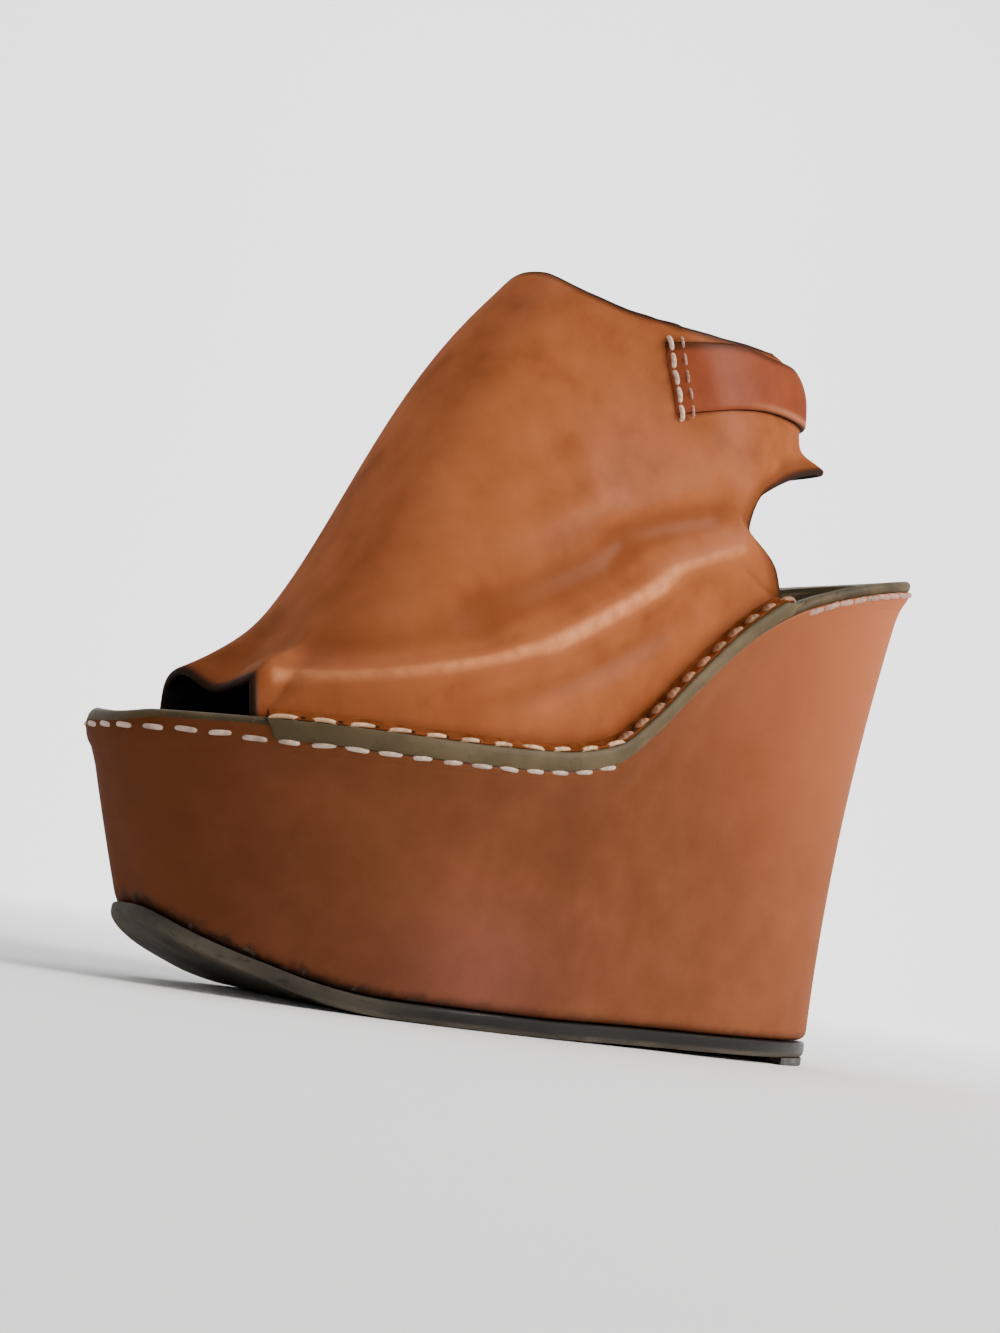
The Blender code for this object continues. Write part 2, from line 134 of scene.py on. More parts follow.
def smooth(knots, values, at):
    """Read a curve through the knots that never swings past neighbouring values."""
    knots = np.asarray(knots, float)
    values = np.asarray(values, float)
    table = values.reshape(len(knots), -1)
    gap = np.diff(knots)[:, None]
    rise = np.diff(table, axis=0) / gap
    same_way = rise[:-1] * rise[1:] > 0
    total = np.where(same_way, rise[:-1] + rise[1:], 1.0)
    slope = np.empty_like(table)
    slope[0] = rise[0]
    slope[-1] = rise[-1]
    slope[1:-1] = np.where(same_way, 2 * rise[:-1] * rise[1:] / total, 0.0)
    at = np.atleast_1d(np.asarray(at, float))
    low = np.clip(np.searchsorted(knots, at, side="right") - 1, 0, len(gap) - 1)
    t = ((at - knots[low]) / gap[low, 0])[:, None]
    keep = (1 + 2 * t) * (1 - t) ** 2
    lead = t * (1 - t) ** 2 * gap[low]
    tail = -(t**2) * (1 - t) * gap[low]
    read = keep * table[low] + (1 - keep) * table[low + 1] + lead * slope[low] + tail * slope[low + 1]
    return read[:, 0] if values.ndim == 1 else read


def column(table, name):
    """One named column of a table of rows."""
    return np.array([getattr(row, name) for row in table])


def ease(value, start, end, low=0.0):
    """Smooth step from low at start to one at end."""
    t = np.clip((np.asarray(value, float) - start) / (end - start), 0.0, 1.0)
    return low + (1 - low) * t * t * (3 - 2 * t)


def crowded(start, end, steps):
    """Shares from start to end that crowd together near nothing and one, as round ends need."""
    turn = np.linspace(*np.arccos(1 - 2 * np.array([start, end])), steps)
    return (1 - np.cos(turn)) / 2


def end_rounding(station):
    """Share of the half width left near toe and heel."""
    station = np.clip(station, 0.0, 1.0)
    sine = np.sqrt(1 - (1 - 2 * station) ** 2)
    return sine ** (TOE_ROUNDNESS + (HEEL_ROUNDNESS - TOE_ROUNDNESS) * station)


def half_width(side, station, inset=0.0):
    """Half width of the footbed on one side of its axis, drawn in by an inset."""
    name = "lateral" if side < 0 else "medial"
    widths = smooth(column(FOOTBED_WIDTH, "station"), column(FOOTBED_WIDTH, name), station)
    return (widths - inset) * end_rounding(station)


def sole_height(x):
    """Height of the outsole's underside: sprung toe, flat ball, slow rise to the heel."""
    toe = np.clip((SPRING_END - x) / (SPRING_END - TOE_DRAW), 0.0, None)
    heel = np.clip((x - FLAT_END) / (LENGTH - HEEL_DRAW - FLAT_END), 0.0, None)
    lowered = TOE_LOWERED * (1 - ease(x, *TOE_LOWERING))
    return TOE_SPRING * toe**SPRING_POWER + HEEL_LIFT * heel - lowered


def sole_top(x):
    """Height of the outsole's upper face, worn thinner at the toe."""
    return sole_height(x) + OUTSOLE_THICKNESS - TOE_THINNER * (1 - ease(x, *TOE_THINNING))


even = crowded(0.0, 1.0, OUTLINE_STEPS)
stations = np.unique(np.concatenate([even, np.linspace(*SEAM_STATIONS, SEAM_STEPS)]))
OUTLINE_STATION = np.concatenate([stations, stations[-2:0:-1]])
OUTLINE_SIDE = np.where(np.arange(len(OUTLINE_STATION)) < len(stations), -1, 1)
AXIS_Y = (half_width(-1, stations).max() - half_width(1, stations).max()) / 2


def outline(toe_inset, heel_inset, side_inset):
    """Ring of x and y round the foot, drawn in at the toe, the heel and the sides."""
    x = toe_inset + (LENGTH - toe_inset - heel_inset) * OUTLINE_STATION
    lateral = half_width(-1, OUTLINE_STATION, side_inset)
    medial = half_width(1, OUTLINE_STATION, side_inset)
    return x, np.where(OUTLINE_SIDE < 0, -lateral, medial)


def placed(points):
    """Points of the tables in metres in the frame."""
    return (np.asarray(points, float).reshape(-1, 3) + [-LENGTH / 2, AXIS_Y, 0.0]) * MM


def new_piece(name, points, faces, materials, parts=None, values=None):
    """Smooth mesh piece with its faces turned out, materials per face and named point values."""
    points = placed(points)
    volume = 0.0
    for face in faces:
        for k in range(1, len(face) - 1):
            volume += np.dot(points[face[0]], np.cross(points[face[k]], points[face[k + 1]]))
    if volume < 0:
        faces = [tuple(reversed(face)) for face in faces]
    mesh = bpy.data.meshes.new(name)
    mesh.from_pydata(points.tolist(), [], faces)
    for material in materials:
        mesh.materials.append(material)
    if parts is not None:
        mesh.polygons.foreach_set("material_index", np.asarray(parts, np.int32))
    for key, value in (values or {}).items():
        layer = mesh.attributes.new(key, "FLOAT", "POINT")
        layer.data.foreach_set("value", np.asarray(value, np.float32).ravel())
    mesh.shade_smooth()
    mesh.set_sharp_from_angle(angle=np.radians(CRISP_ANGLE))
    mesh.update()
    piece = bpy.data.objects.new(name, mesh)
    bpy.context.scene.collection.objects.link(piece)
    return piece


def band_faces(count, rings, shut=True):
    """Quads between rings of equal count, each ring shut on itself or left open."""
    faces = []
    for base in range(0, (rings - 1) * count, count):
        for k in range(count if shut else count - 1):
            after = (k + 1) % count
            faces.append((base + k, base + after, base + count + after, base + count + k))
    return faces


def stack_faces(count, rings, split=0):
    """Quads of stacked rings round the foot with rungs across the first and the last.

    A ring starts at one point on the foot's axis, or is split there by one step.
    """
    faces = band_faces(count, rings)
    for base in (0, (rings - 1) * count):
        for k in range(count // 2):
            far = count - k - split
            rung = [base + k, base + k + 1, base + (far - 1) % count, base + far % count]
            faces.append(tuple(dict.fromkeys(rung)))
    return faces


def put(tree, socket, value):
    """Link an input to another node's output, or set it to a value or a colour."""
    if isinstance(value, bpy.types.NodeSocket):
        tree.links.new(value, socket)
    elif socket.type == "RGBA":
        socket.default_value = (*value, 1.0)
    else:
        socket.default_value = value


def add(tree, kind, inputs=None, **settings):
    """Node with its settings, and its inputs set to values or linked to other nodes' outputs."""
    made = tree.nodes.new(kind)
    for name, value in settings.items():
        setattr(made, name, value)
    for name, value in (inputs or {}).items():
        put(tree, made.inputs[name], value)
    return made


def dress(shader, looks):
    """Give a shader its colour, bump and other inputs by name."""
    for name, value in looks.items():
        put(shader.id_data, shader.inputs[name], value)


def new_material(name, roughness, gloss=PLAIN_GLOSS):
    """Principled material: its node tree, its shader and the object's own coordinates."""
    material = bpy.data.materials.new(name)
    material.use_nodes = True
    tree = material.node_tree
    shader = tree.nodes["Principled BSDF"]
    dress(shader, {"Roughness": roughness, "Metallic": 0.0, "Specular IOR Level": gloss})
    where = add(tree, "ShaderNodeTexCoord").outputs["Object"]
    return material, tree, shader, where


def noise(tree, where, pattern):
    """Cloudy pattern with patches of about its size, drawn out along an axis by its stretch."""
    spread = add(tree, "ShaderNodeMapping", {"Vector": where, "Scale": pattern.stretch}).outputs[0]
    inputs = {"Vector": spread, "Scale": 1.0 / (pattern.size * MM), "Detail": pattern.detail}
    return add(tree, "ShaderNodeTexNoise", inputs).outputs["Fac"]


def attribute(tree, name):
    """Named point value of the piece."""
    return add(tree, "ShaderNodeAttribute", attribute_name=name).outputs["Fac"]


def maths(tree, operation, first, second=0.0):
    """Sum of two values, or another operation."""
    return add(tree, "ShaderNodeMath", {0: first, 1: second}, operation=operation).outputs[0]


def times(tree, first, second):
    """Product of two values."""
    return maths(tree, "MULTIPLY", first, second)


def span(tree, value, band):
    """Smooth step of a value across a band, from its low to its high."""
    inputs = dict(zip(("From Min", "From Max", "To Min", "To Max"), band))
    inputs["Value"] = value
    return add(tree, "ShaderNodeMapRange", inputs, interpolation_type="SMOOTHSTEP").outputs[0]


def tint(tree, factor, first, second):
    """Colour between two colours or sockets. The Mix node names its colour sockets by number only."""
    return add(tree, "ShaderNodeMix", {0: factor, 6: first, 7: second}, data_type="RGBA").outputs[2]


def relief(tree, height, bump, under=None):
    """Bump from a height of nothing to one, laid over another bump if one is given."""
    inputs = {"Height": height, "Distance": bump.depth * MM, "Strength": bump.strength}
    if under is not None:
        inputs["Normal"] = under
    return add(tree, "ShaderNodeBump", inputs).outputs["Normal"]


sole_skin, tree, shader, where = new_material("worn_sole_leather", SOLE_ROUGHNESS, SOLE_GLOSS)
drag = noise(tree, where, SOLE_DRAG)
edge_share = attribute(tree, "edge")
ground = tint(tree, span(tree, noise(tree, where, SOLE_WEAR), SOLE_PALING), SOLE_GREY, SOLE_PALE)
ground = tint(tree, span(tree, drag, DRAG_STREAKS), ground, SOLE_BLACK)
dress(shader, {
    "Base Color": tint(tree, edge_share, ground, SOLE_BLACK),
    "Roughness": maths(tree, "SUBTRACT", SOLE_ROUGHNESS, times(tree, edge_share, EDGE_POLISH)),
    "Normal": relief(tree, noise(tree, where, SOLE_GRIT), GRIT_BUMP, relief(tree, drag, DRAG_BUMP)),
})

rings = []
edge = []
for level, inset in OUTSOLE_RIMS:
    x, y = outline(TOE_DRAW - OUTSOLE_LIP + inset, HEEL_DRAW + inset, SIDE_DRAW + inset)
    low = sole_height(x)
    rings.append(np.column_stack([x, y, low + (sole_top(x) - low) * level]))
    edge.append(ease(level, *EDGE_BLACKENED) * ease(x, *TOE_EDGE_WORN, TOE_EDGE_BLACK))
outsole = new_piece("worn_outsole", np.vstack(rings), stack_faces(len(x), len(rings)), [sole_skin],
                    values={"edge": np.concatenate(edge)})
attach(outsole, "root")
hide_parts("outsole")


# Heel tip
# A small rubber top piece glued under the back of the sole, cut straight across at its front. It
# is black and scuffed grey where it meets the floor.
HEEL_TIP_FRONT = 204.0
HEEL_TIP_INSET = 0.4
HEEL_TIP_STEPS = 40
HEEL_TIP_BEVEL = 0.35
TIP_BLACK = (0.020, 0.018, 0.017)
TIP_GREY = (0.070, 0.066, 0.062)
TIP_ROUGHNESS = 0.7
TIP_SCUFFS = Pattern(2.5, 5.0)
TIP_GREYING = Band(0.5, 0.7)
TIP_BUMP = Bump(0.2, 0.4)

tip_rubber, tree, shader, where = new_material("scuffed_heel_rubber", TIP_ROUGHNESS)
scuffs = noise(tree, where, TIP_SCUFFS)
dress(shader, {
    "Base Color": tint(tree, span(tree, scuffs, TIP_GREYING), TIP_BLACK, TIP_GREY),
    "Normal": relief(tree, scuffs, TIP_BUMP),
})

sole_length = LENGTH - HEEL_DRAW - TOE_DRAW
station = crowded((HEEL_TIP_FRONT - TOE_DRAW) / sole_length, 1.0, HEEL_TIP_STEPS)
rings = []
for rise, inset in ((0.0, HEEL_TIP_BEVEL), (HEEL_TIP_BEVEL, 0.0), (None, 0.0)):
    side_inset = SIDE_DRAW + HEEL_TIP_INSET + inset
    lateral = -half_width(-1, station, side_inset)
    medial = half_width(1, station, side_inset)
    x = TOE_DRAW + (sole_length - HEEL_TIP_INSET - inset) * np.concatenate([station, station[-2::-1]])
    y = np.concatenate([lateral, medial[-2::-1]])
    z = sole_height(x) if rise is None else np.full(len(x), rise)
    rings.append(np.column_stack([x, y, z]))
heel_tip = new_piece("rubber_heel_tip", np.vstack(rings), stack_faces(len(x), len(rings), split=1),
                     [tip_rubber])
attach(heel_tip, "root")
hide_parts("heel_tip")


# Wedge
# A light core covered in smooth waxed tan leather that is drawn tight over a soft belly and turned
# under at a rounded bottom rim, where it is stained and scuffed. The cover of the forepart laps
# over the heel's cover in an upright seam on the inner side of the waist.
FOOTBED_EDGE = 3.6
CLEARANCE = 0.3
WEDGE_TUCK = 1.6
TOE_BELLY = 1.2
SIDE_BELLY = 0.72
HEEL_HOLLOW = 4.6
MIDDLE_SWELL = (1, 1)
WEDGE_LEVELS = 52
BOTTOM_RADIUS = 2.8
TOP_RADIUS = 0.6
COVER_FLARE = 1.5
FLARE_HEIGHT = 9.0
END_FLARE = 0.35
RIM_STEPS = 7
RIM_START = 0.3
SEAM_TOP = 115.0
SEAM_BOTTOM = 104.0
SEAM_LAP = 0.55
SEAM_LAP_RISE = (-7.0, -1.0)
SEAM_LAP_DROP = (-0.7, 0.2)
SEAM_GROOVE = 0.6
SEAM_GROOVE_AT = 0.5
SEAM_GROOVE_WIDTH = 1.1

Height = namedtuple("Height", "station height")
FOOTBED_HEIGHT = [
    Height(0.00, 55.5),
    Height(0.16, 58.7),
    Height(0.30, 60.3),
    Height(0.42, 63.0),
    Height(0.49, 67.5),
    Height(0.54, 76.5),
    Height(0.60, 90.8),
    Height(0.68, 108.8),
    Height(0.76, 121.0),
    Height(0.86, 129.8),
    Height(1.00, 138.5),
]

# Three tones of a hide, its roughness and the weight of the thin wax over it
Hide = namedtuple("Hide", "deep mid light roughness wax")
TAN_HIDE = Hide(
    deep=(0.098, 0.030, 0.010),
    mid=(0.126, 0.040, 0.015),
    light=(0.174, 0.056, 0.025),
    roughness=0.48,
    wax=0.09,
)
LEATHER_GLOSS = 0.0
WAX_ROUGHNESS = 0.3
HIDE_CLOUDS = Pattern(42.0, 4.0)
HIDE_PATCHES = Pattern(9.0, 5.0)
CLOUD_SHARE = 0.65
DEEP_TO_MID = Band(0.26, 0.54)
MID_TO_LIGHT = Band(0.44, 0.78)
SMOOTHER = -0.06
ROUGHER = 0.08
SMOOTH_PATCHES = (0.3, 0.7)
HIDE_HANDLE = Pattern(16.0, 2.0)
HANDLE_BUMP = Bump(0.5, 0.35)
PORE_SIZE = 0.75
PORE_PITS = Band(0.05, 0.45)
PORE_BUMP = Bump(0.05, 0.3)
HIDE_GRAIN = Pattern(0.5, 2.0)
GRAIN_BUMP = Bump(0.06, 0.3)

# Painted light: the pale orange that the cover turns towards the heel and up its wall, partly the
# leather's own tone.
TAN_PAINTED_LIGHT = (0.400, 0.120, 0.050)
STAIN = (0.022, 0.013, 0.009)
SCUFF_GREY = (0.075, 0.066, 0.056)
# Patina and painted shade: a dark brown that darkens the toes of the cover and the upper and the upper's
# lower edge, and grimes the turned margin.
PATINA_AND_SHADE_BROWN = (0.060, 0.015, 0.003)
# Painted reflection: a faint pink patch low on the cover's outer side.
PAINTED_REFLECTION_PINK = (0.200, 0.066, 0.056)
TOE_PATINA_AND_SHADE = 0.75
TOE_PATINA_AND_SHADE_FADE = (-10.0, 85.0)
HEEL_PAINTED_LIGHT_SHARE = 0.75
PAINTED_LIGHT_ALONG = (110.0, 235.0)
PAINTED_LIGHT_UP = (10.0, 130.0)
PAINTED_LIGHT_AT_FOOT = 0.35
PAINTED_REFLECTION_SHARE = 0.3
PAINTED_REFLECTION_AT = 88.0
PAINTED_REFLECTION_SPREAD = 26.0
PAINTED_REFLECTION_UP = (14.0, 40.0)
GRIME_FADE = (55.0, 95.0)
GRIME_AT_HEEL = 0.35
STAIN_EDGE = Pattern(4.0, 6.0)
STAIN_RAGGED = 5.0
NOISE_MIDDLE = 0.5
STAIN_RISE = Band(0.6, 2.8, 0.8, 0.0)
SCUFF_RISE = Band(0.6, 2.6, 0.8, 0.0)
FLECKS = Pattern(2.2, 5.0)
FLECKS_BARE = Band(0.55, 0.68)
FLECKS_SMUDGED = Band(0.35, 0.6)
SMUDGE_SHARE = 0.75
SEAM_DARKENING = 0.8

Mark = namedtuple("Mark", "start end width")
WEDGE_SMUDGES = [
    Mark((20.0, -27.0, 45.0), (23.0, -30.0, 46.5), 1.6),
    Mark((48.0, -38.0, 16.5), (54.0, -40.0, 15.5), 1.3),
]


def edge_height(x):
    """Height of the footbed's lower edge over the floor."""
    return smooth(column(FOOTBED_HEIGHT, "station"), column(FOOTBED_HEIGHT, "height"), x / LENGTH)


def bulge(v, rise, fall):
    """Swell from nothing over a peak of one, at rise out of rise plus fall, back to nothing."""
    peak = rise / (rise + fall)
    return v**rise * (1 - v) ** fall / (peak**rise * (1 - peak) ** fall)


def waxed_leather(name, hide):
    """Smooth tanned hide: tone that drifts in clouds, fine pores and a thin coat of wax."""
    material, tree, shader, where = new_material(name, hide.roughness, LEATHER_GLOSS)
    patch = noise(tree, where, HIDE_PATCHES)
    cloud = times(tree, noise(tree, where, HIDE_CLOUDS), CLOUD_SHARE)
    tone = maths(tree, "ADD", cloud, times(tree, patch, 1 - CLOUD_SHARE))
    colour = tint(tree, span(tree, tone, DEEP_TO_MID), hide.deep, hide.mid)
    colour = tint(tree, span(tree, tone, MID_TO_LIGHT), colour, hide.light)
    worn = Band(*SMOOTH_PATCHES, hide.roughness + SMOOTHER, hide.roughness + ROUGHER)
    pores = add(tree, "ShaderNodeTexVoronoi", {"Vector": where, "Scale": 1.0 / (PORE_SIZE * MM)})
    handle = relief(tree, noise(tree, where, HIDE_HANDLE), HANDLE_BUMP)
    handle = relief(tree, span(tree, pores.outputs["Distance"], PORE_PITS), PORE_BUMP, handle)
    dress(shader, {
        "Coat Weight": hide.wax,
        "Coat Roughness": WAX_ROUGHNESS,
        "Roughness": span(tree, patch, worn),
        "Normal": relief(tree, noise(tree, where, HIDE_GRAIN), GRAIN_BUMP, handle),
    })
    return material, tree, shader, where, colour


def near_line(tree, where, mark):
    """One on a straight mark from start to end, fading out within its width."""

    def vector(operation, inputs):
        return add(tree, "ShaderNodeVectorMath", inputs, operation=operation).outputs

    start, end = (Vector(point) for point in placed([mark.start, mark.end]))
    run = end - start
    reach = vector("SUBTRACT", {0: where, 1: start})["Vector"]
    along = vector("DOT_PRODUCT", {0: reach, 1: run / run.length_squared})["Value"]
    held = add(tree, "ShaderNodeClamp", {"Value": along}).outputs[0]
    foot = vector("SCALE", {0: run, "Scale": held})["Vector"]
    off = vector("DISTANCE", {0: reach, 1: foot})["Value"]
    return span(tree, off, Band(0.0, mark.width * MM, 1.0, 0.0))


def touched(tree, colour, name, share, other):
    """Colour drawn towards another by a share of the piece's named point value."""
    return tint(tree, times(tree, attribute(tree, name), share), colour, other)


def cover_tones(points, rise, seam):
    """Where the cover has patina and painted shade at the toe, painted light at the heel, stains, a
    painted reflection and a dark seam.
    """
    x, y, z = np.reshape(points, (-1, 3)).T
    painted_reflection = np.exp(-(((x - PAINTED_REFLECTION_AT) / PAINTED_REFLECTION_SPREAD) ** 2)) * (1 - ease(z, *PAINTED_REFLECTION_UP))
    return {
        "rise": rise,
        "seam": seam,
        "forward": 1 - ease(x, *TOE_PATINA_AND_SHADE_FADE),
        "heel_painted_light": ease(x, *PAINTED_LIGHT_ALONG) * ease(z, *PAINTED_LIGHT_UP, PAINTED_LIGHT_AT_FOOT),
        "grime": 1 - (1 - GRIME_AT_HEEL) * ease(x, *GRIME_FADE),
        "painted_reflection": painted_reflection * (y < 0),
    }


wedge_skin, tree, shader, where, colour = waxed_leather("wedge_cover_leather", TAN_HIDE)
# Painted light: paler towards the heel and up the wall.
colour = touched(tree, colour, "heel_painted_light", HEEL_PAINTED_LIGHT_SHARE, TAN_PAINTED_LIGHT)
# Patina and painted shade: darker towards the toe.
colour = touched(tree, colour, "forward", TOE_PATINA_AND_SHADE, PATINA_AND_SHADE_BROWN)
# Painted reflection: faint pink low on the outer side.
colour = touched(tree, colour, "painted_reflection", PAINTED_REFLECTION_SHARE, PAINTED_REFLECTION_PINK)
uneven = maths(tree, "SUBTRACT", noise(tree, where, STAIN_EDGE), NOISE_MIDDLE)
reach = maths(tree, "ADD", attribute(tree, "rise"), times(tree, uneven, STAIN_RAGGED))
colour = touched(tree, colour, "grime", span(tree, reach, STAIN_RISE), STAIN)
fleck = noise(tree, where, FLECKS)
bare = times(tree, span(tree, fleck, FLECKS_BARE), span(tree, reach, SCUFF_RISE))
colour = touched(tree, colour, "grime", bare, SCUFF_GREY)
for mark in WEDGE_SMUDGES:
    smudge = times(tree, near_line(tree, where, mark), span(tree, fleck, FLECKS_SMUDGED))
    colour = tint(tree, times(tree, smudge, SMUDGE_SHARE), colour, STAIN)
# The seam's groove is painted darker.
dress(shader, {"Base Color": touched(tree, colour, "seam", SEAM_DARKENING, STAIN)})

rim_turn = np.linspace(RIM_START, np.pi / 2, RIM_STEPS)
rim_rise = 1 - np.cos(rim_turn)
rim_inset = 1 - np.sin(rim_turn)
x, y = outline(TOE_DRAW / 2, HEEL_DRAW / 2, SIDE_DRAW)
wall_height = edge_height(x) - sole_top(x) - 2 * CLEARANCE
steps = []
for lift, inset in zip(rim_rise, rim_inset):
    steps.append((lift * BOTTOM_RADIUS / wall_height, inset * BOTTOM_RADIUS))
for share in np.linspace(0.0, 1.0, WEDGE_LEVELS)[1:-1]:
    low = BOTTOM_RADIUS / wall_height
    steps.append((low + (1 - low - TOP_RADIUS / wall_height) * share, 0.0))
for lift, inset in zip(rim_rise[::-1], rim_inset[::-1]):
    steps.append((1 - lift * TOP_RADIUS / wall_height, inset * TOP_RADIUS))
rings = []
rises = []
seams = []
for level, inset in steps:
    arch = bulge(level, *MIDDLE_SWELL)
    toe = TOE_DRAW + (WEDGE_TUCK - TOE_DRAW) * level + inset - TOE_BELLY * arch
    heel = HEEL_DRAW + (WEDGE_TUCK - HEEL_DRAW) * level + inset + HEEL_HOLLOW * arch
    side = SIDE_DRAW + (WEDGE_TUCK - SIDE_DRAW) * level + inset - SIDE_BELLY * arch
    flare = COVER_FLARE * (1 - ease(wall_height * (1 - level), 0.0, FLARE_HEIGHT))
    x, y = outline(toe - END_FLARE * flare, heel - END_FLARE * flare, side - flare)
    foot = sole_top(x) + CLEARANCE
    crown = edge_height(x) - CLEARANCE
    past = x - (SEAM_BOTTOM + (SEAM_TOP - SEAM_BOTTOM) * level)
    lap = SEAM_LAP * ease(past, *SEAM_LAP_RISE) * (1 - ease(past, *SEAM_LAP_DROP))
    groove = np.exp(-(((past - SEAM_GROOVE_AT) / SEAM_GROOVE_WIDTH) ** 2))
    y = np.where(OUTLINE_SIDE > 0, y + lap - SEAM_GROOVE * groove, y)
    rings.append(np.column_stack([x, y, foot + (crown - foot) * level]))
    rises.append((crown - foot) * level)
    seams.append(np.where(OUTLINE_SIDE > 0, groove, 0.0))
points = np.vstack(rings)
wedge = new_piece("covered_wedge", points, stack_faces(len(OUTLINE_STATION), len(rings)), [wedge_skin],
                  values=cover_tones(points, np.concatenate(rises), np.concatenate(seams)))
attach(wedge, "root")
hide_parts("wedge")


# Footbed
# A stiff board under the foot, its edge bound in olive brown leather that shows at toe and heel as a
# thin rounded bead. In front of the welts the board is built up level with their tops.
BEAD_STEPS = 13
BEAD_ROUND = 1.7
BEAD_TOP_INSET = 9.0
TOE_RISE = 2.6
TOE_RISE_START = (-4.5, 5.5)
TOE_RISE_END = (28.0, 34.0)
BOARD_DISH = 1.0
OLIVE_DARK = (0.030, 0.020, 0.007)
OLIVE = (0.064, 0.043, 0.018)
OLIVE_PALE = (0.094, 0.065, 0.031)
OLIVE_ROUGHNESS = 0.58
OLIVE_GLOSS = 0.14
BEAD_MOTTLE = Pattern(12.0, 5.0)
BEAD_MOTTLED = Band(0.35, 0.6)
BEAD_RUBBING = Pattern(1.4, 4.0)
BEAD_RUBBED = Band(0.55, 0.75, 0.0, 0.6)
BEAD_BUMP = Bump(0.12, 0.4)
BEAD_TOE_DARK = 0.4
BEAD_TOE_FADE = (10.0, 70.0)

bound_edge, tree, shader, where = new_material("olive_bound_edge", OLIVE_ROUGHNESS, OLIVE_GLOSS)
rubbed = noise(tree, where, BEAD_RUBBING)
colour = tint(tree, span(tree, noise(tree, where, BEAD_MOTTLE), BEAD_MOTTLED), OLIVE_DARK, OLIVE)
colour = tint(tree, span(tree, rubbed, BEAD_RUBBED), colour, OLIVE_PALE)
dress(shader, {
    "Base Color": touched(tree, colour, "forward", BEAD_TOE_DARK, OLIVE_DARK),
    "Normal": relief(tree, rubbed, BEAD_BUMP),
})


def toe_rise(x):
    """How far the board's top is built up in front of the welts."""
    return TOE_RISE * ease(x, *TOE_RISE_START) * (1 - ease(x, *TOE_RISE_END))


def board_top(x):
    """Height of the board's dished top inside its bead."""
    return edge_height(x) + toe_rise(x) + FOOTBED_EDGE - BOARD_DISH


rings = []
for turn in np.linspace(-np.pi / 2, np.pi / 2, BEAD_STEPS):
    inset = BEAD_ROUND * (1 - np.cos(turn))
    x, y = outline(inset, inset, inset)
    built_up = toe_rise(x) * ease(np.sin(turn), -1.0, 0.0)
    z = edge_height(x) + built_up + FOOTBED_EDGE * (1 + np.sin(turn)) / 2
    rings.append(np.column_stack([x, y, z]))
x, y = outline(BEAD_TOP_INSET, BEAD_TOP_INSET, BEAD_TOP_INSET)
rings.append(np.column_stack([x, y, board_top(x)]))
points = np.vstack(rings)
footbed = new_piece("bound_footbed", points, stack_faces(len(x), len(rings)), [bound_edge],
                    values={"forward": 1 - ease(points[:, 0], *BEAD_TOE_FADE)})
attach(footbed, "root")
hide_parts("footbed")


# Turned-up cover
# The top edge of the wedge's cover, drawn up over the board's edge all round the shoe and cemented
# down under the bead. It reaches highest at the toe and lowest at the heel.
TURN_UP = 1.3
TURN_UP_HEEL = 0.4
TURN_UP_DROP = (165.0, 190.0)
TOE_BEAD_SHOWN = 1.6
TOE_TURN_UP = (24.0, 40.0)
LEAN_START = 1.4
TOE_LEAN = 0.34
HEEL_LEAN = 0.26

# Inset from the board's edge, drop under the brim, and how far a line follows the brim's rise at the toe
Turn = namedtuple("Turn", "inset drop follow")
TURN_PROFILE = [
    Turn(2.6, 6.2, 0.0),
    Turn(1.35, 5.6, 0.0),
    Turn(0.90, 4.3, 0.0),
    Turn(0.45, 3.1, 0.0),
    Turn(0.12, 2.2, 0.2),
    Turn(-0.05, 1.4, 0.6),
    Turn(-0.12, 0.7, 1.0),
    Turn(-0.02, 0.2, 1.0),
    Turn(0.35, 0.0, 1.0),
    Turn(1.2, 0.0, 1.0),
    Turn(2.6, 0.8, 1.0),
]


def loop_faces(columns, rows):
    """Quads of a grid that is shut on itself both ways."""
    faces = []
    for c in range(columns):
        after = (c + 1) % columns
        for r in range(rows):
            over = (r + 1) % rows
            faces.append((c * rows + r, after * rows + r, after * rows + over, c * rows + over))
    return faces


lines = []
for inset, drop, follow in TURN_PROFILE:
    below = max(drop - LEAN_START, 0.0)
    x, y = outline(inset + TOE_LEAN * below, inset + HEEL_LEAN * below, inset)
    brim = TURN_UP + (TURN_UP_HEEL - TURN_UP) * ease(x, *TURN_UP_DROP)
    toe_brim = FOOTBED_EDGE + toe_rise(x) - TOE_BEAD_SHOWN
    brim = brim + follow * (toe_brim - brim) * (1 - ease(x, *TOE_TURN_UP))
    lines.append(np.column_stack([x, y, edge_height(x) + brim - drop]))
points = np.stack(lines, axis=1)
count = points.shape[0] * points.shape[1]
turn_up = new_piece("turned_up_cover", points, loop_faces(*points.shape[:2]), [wedge_skin],
                    values=cover_tones(points, np.full(count, LENGTH), np.zeros(count)))
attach(turn_up, "root")


# Insole
# A thin sock lining glued into the dished footbed inside the upper, dark from wear and a little paler
# where the heel and the ball of the foot have rubbed it.
INSOLE_MARGIN = 8.2
INSOLE_TOE = 12.0
INSOLE_THICKNESS = 0.5
INSOLE_RIMS = [
    Rim(0.0, 0.2),
    Rim(0.2, 0.0),
    Rim(0.4, 0.3),
    Rim(0.6, 4.0),
    Rim(0.8, 8.0),
    Rim(1.0, 12.0),
]
SOCK_BLACK = (0.026, 0.018, 0.011)
SOCK_WORN = (0.075, 0.052, 0.032)
SOCK_ROUGHNESS = 0.75
SOCK_GLOSS = 0.0
SOCK_RUBBING = Pattern(18.0, 5.0)
SOCK_RUBBED = Band(0.45, 0.7)
LINING_GRAIN = Pattern(0.8, 3.0)
LINING_BUMP = Bump(0.1, 0.4)

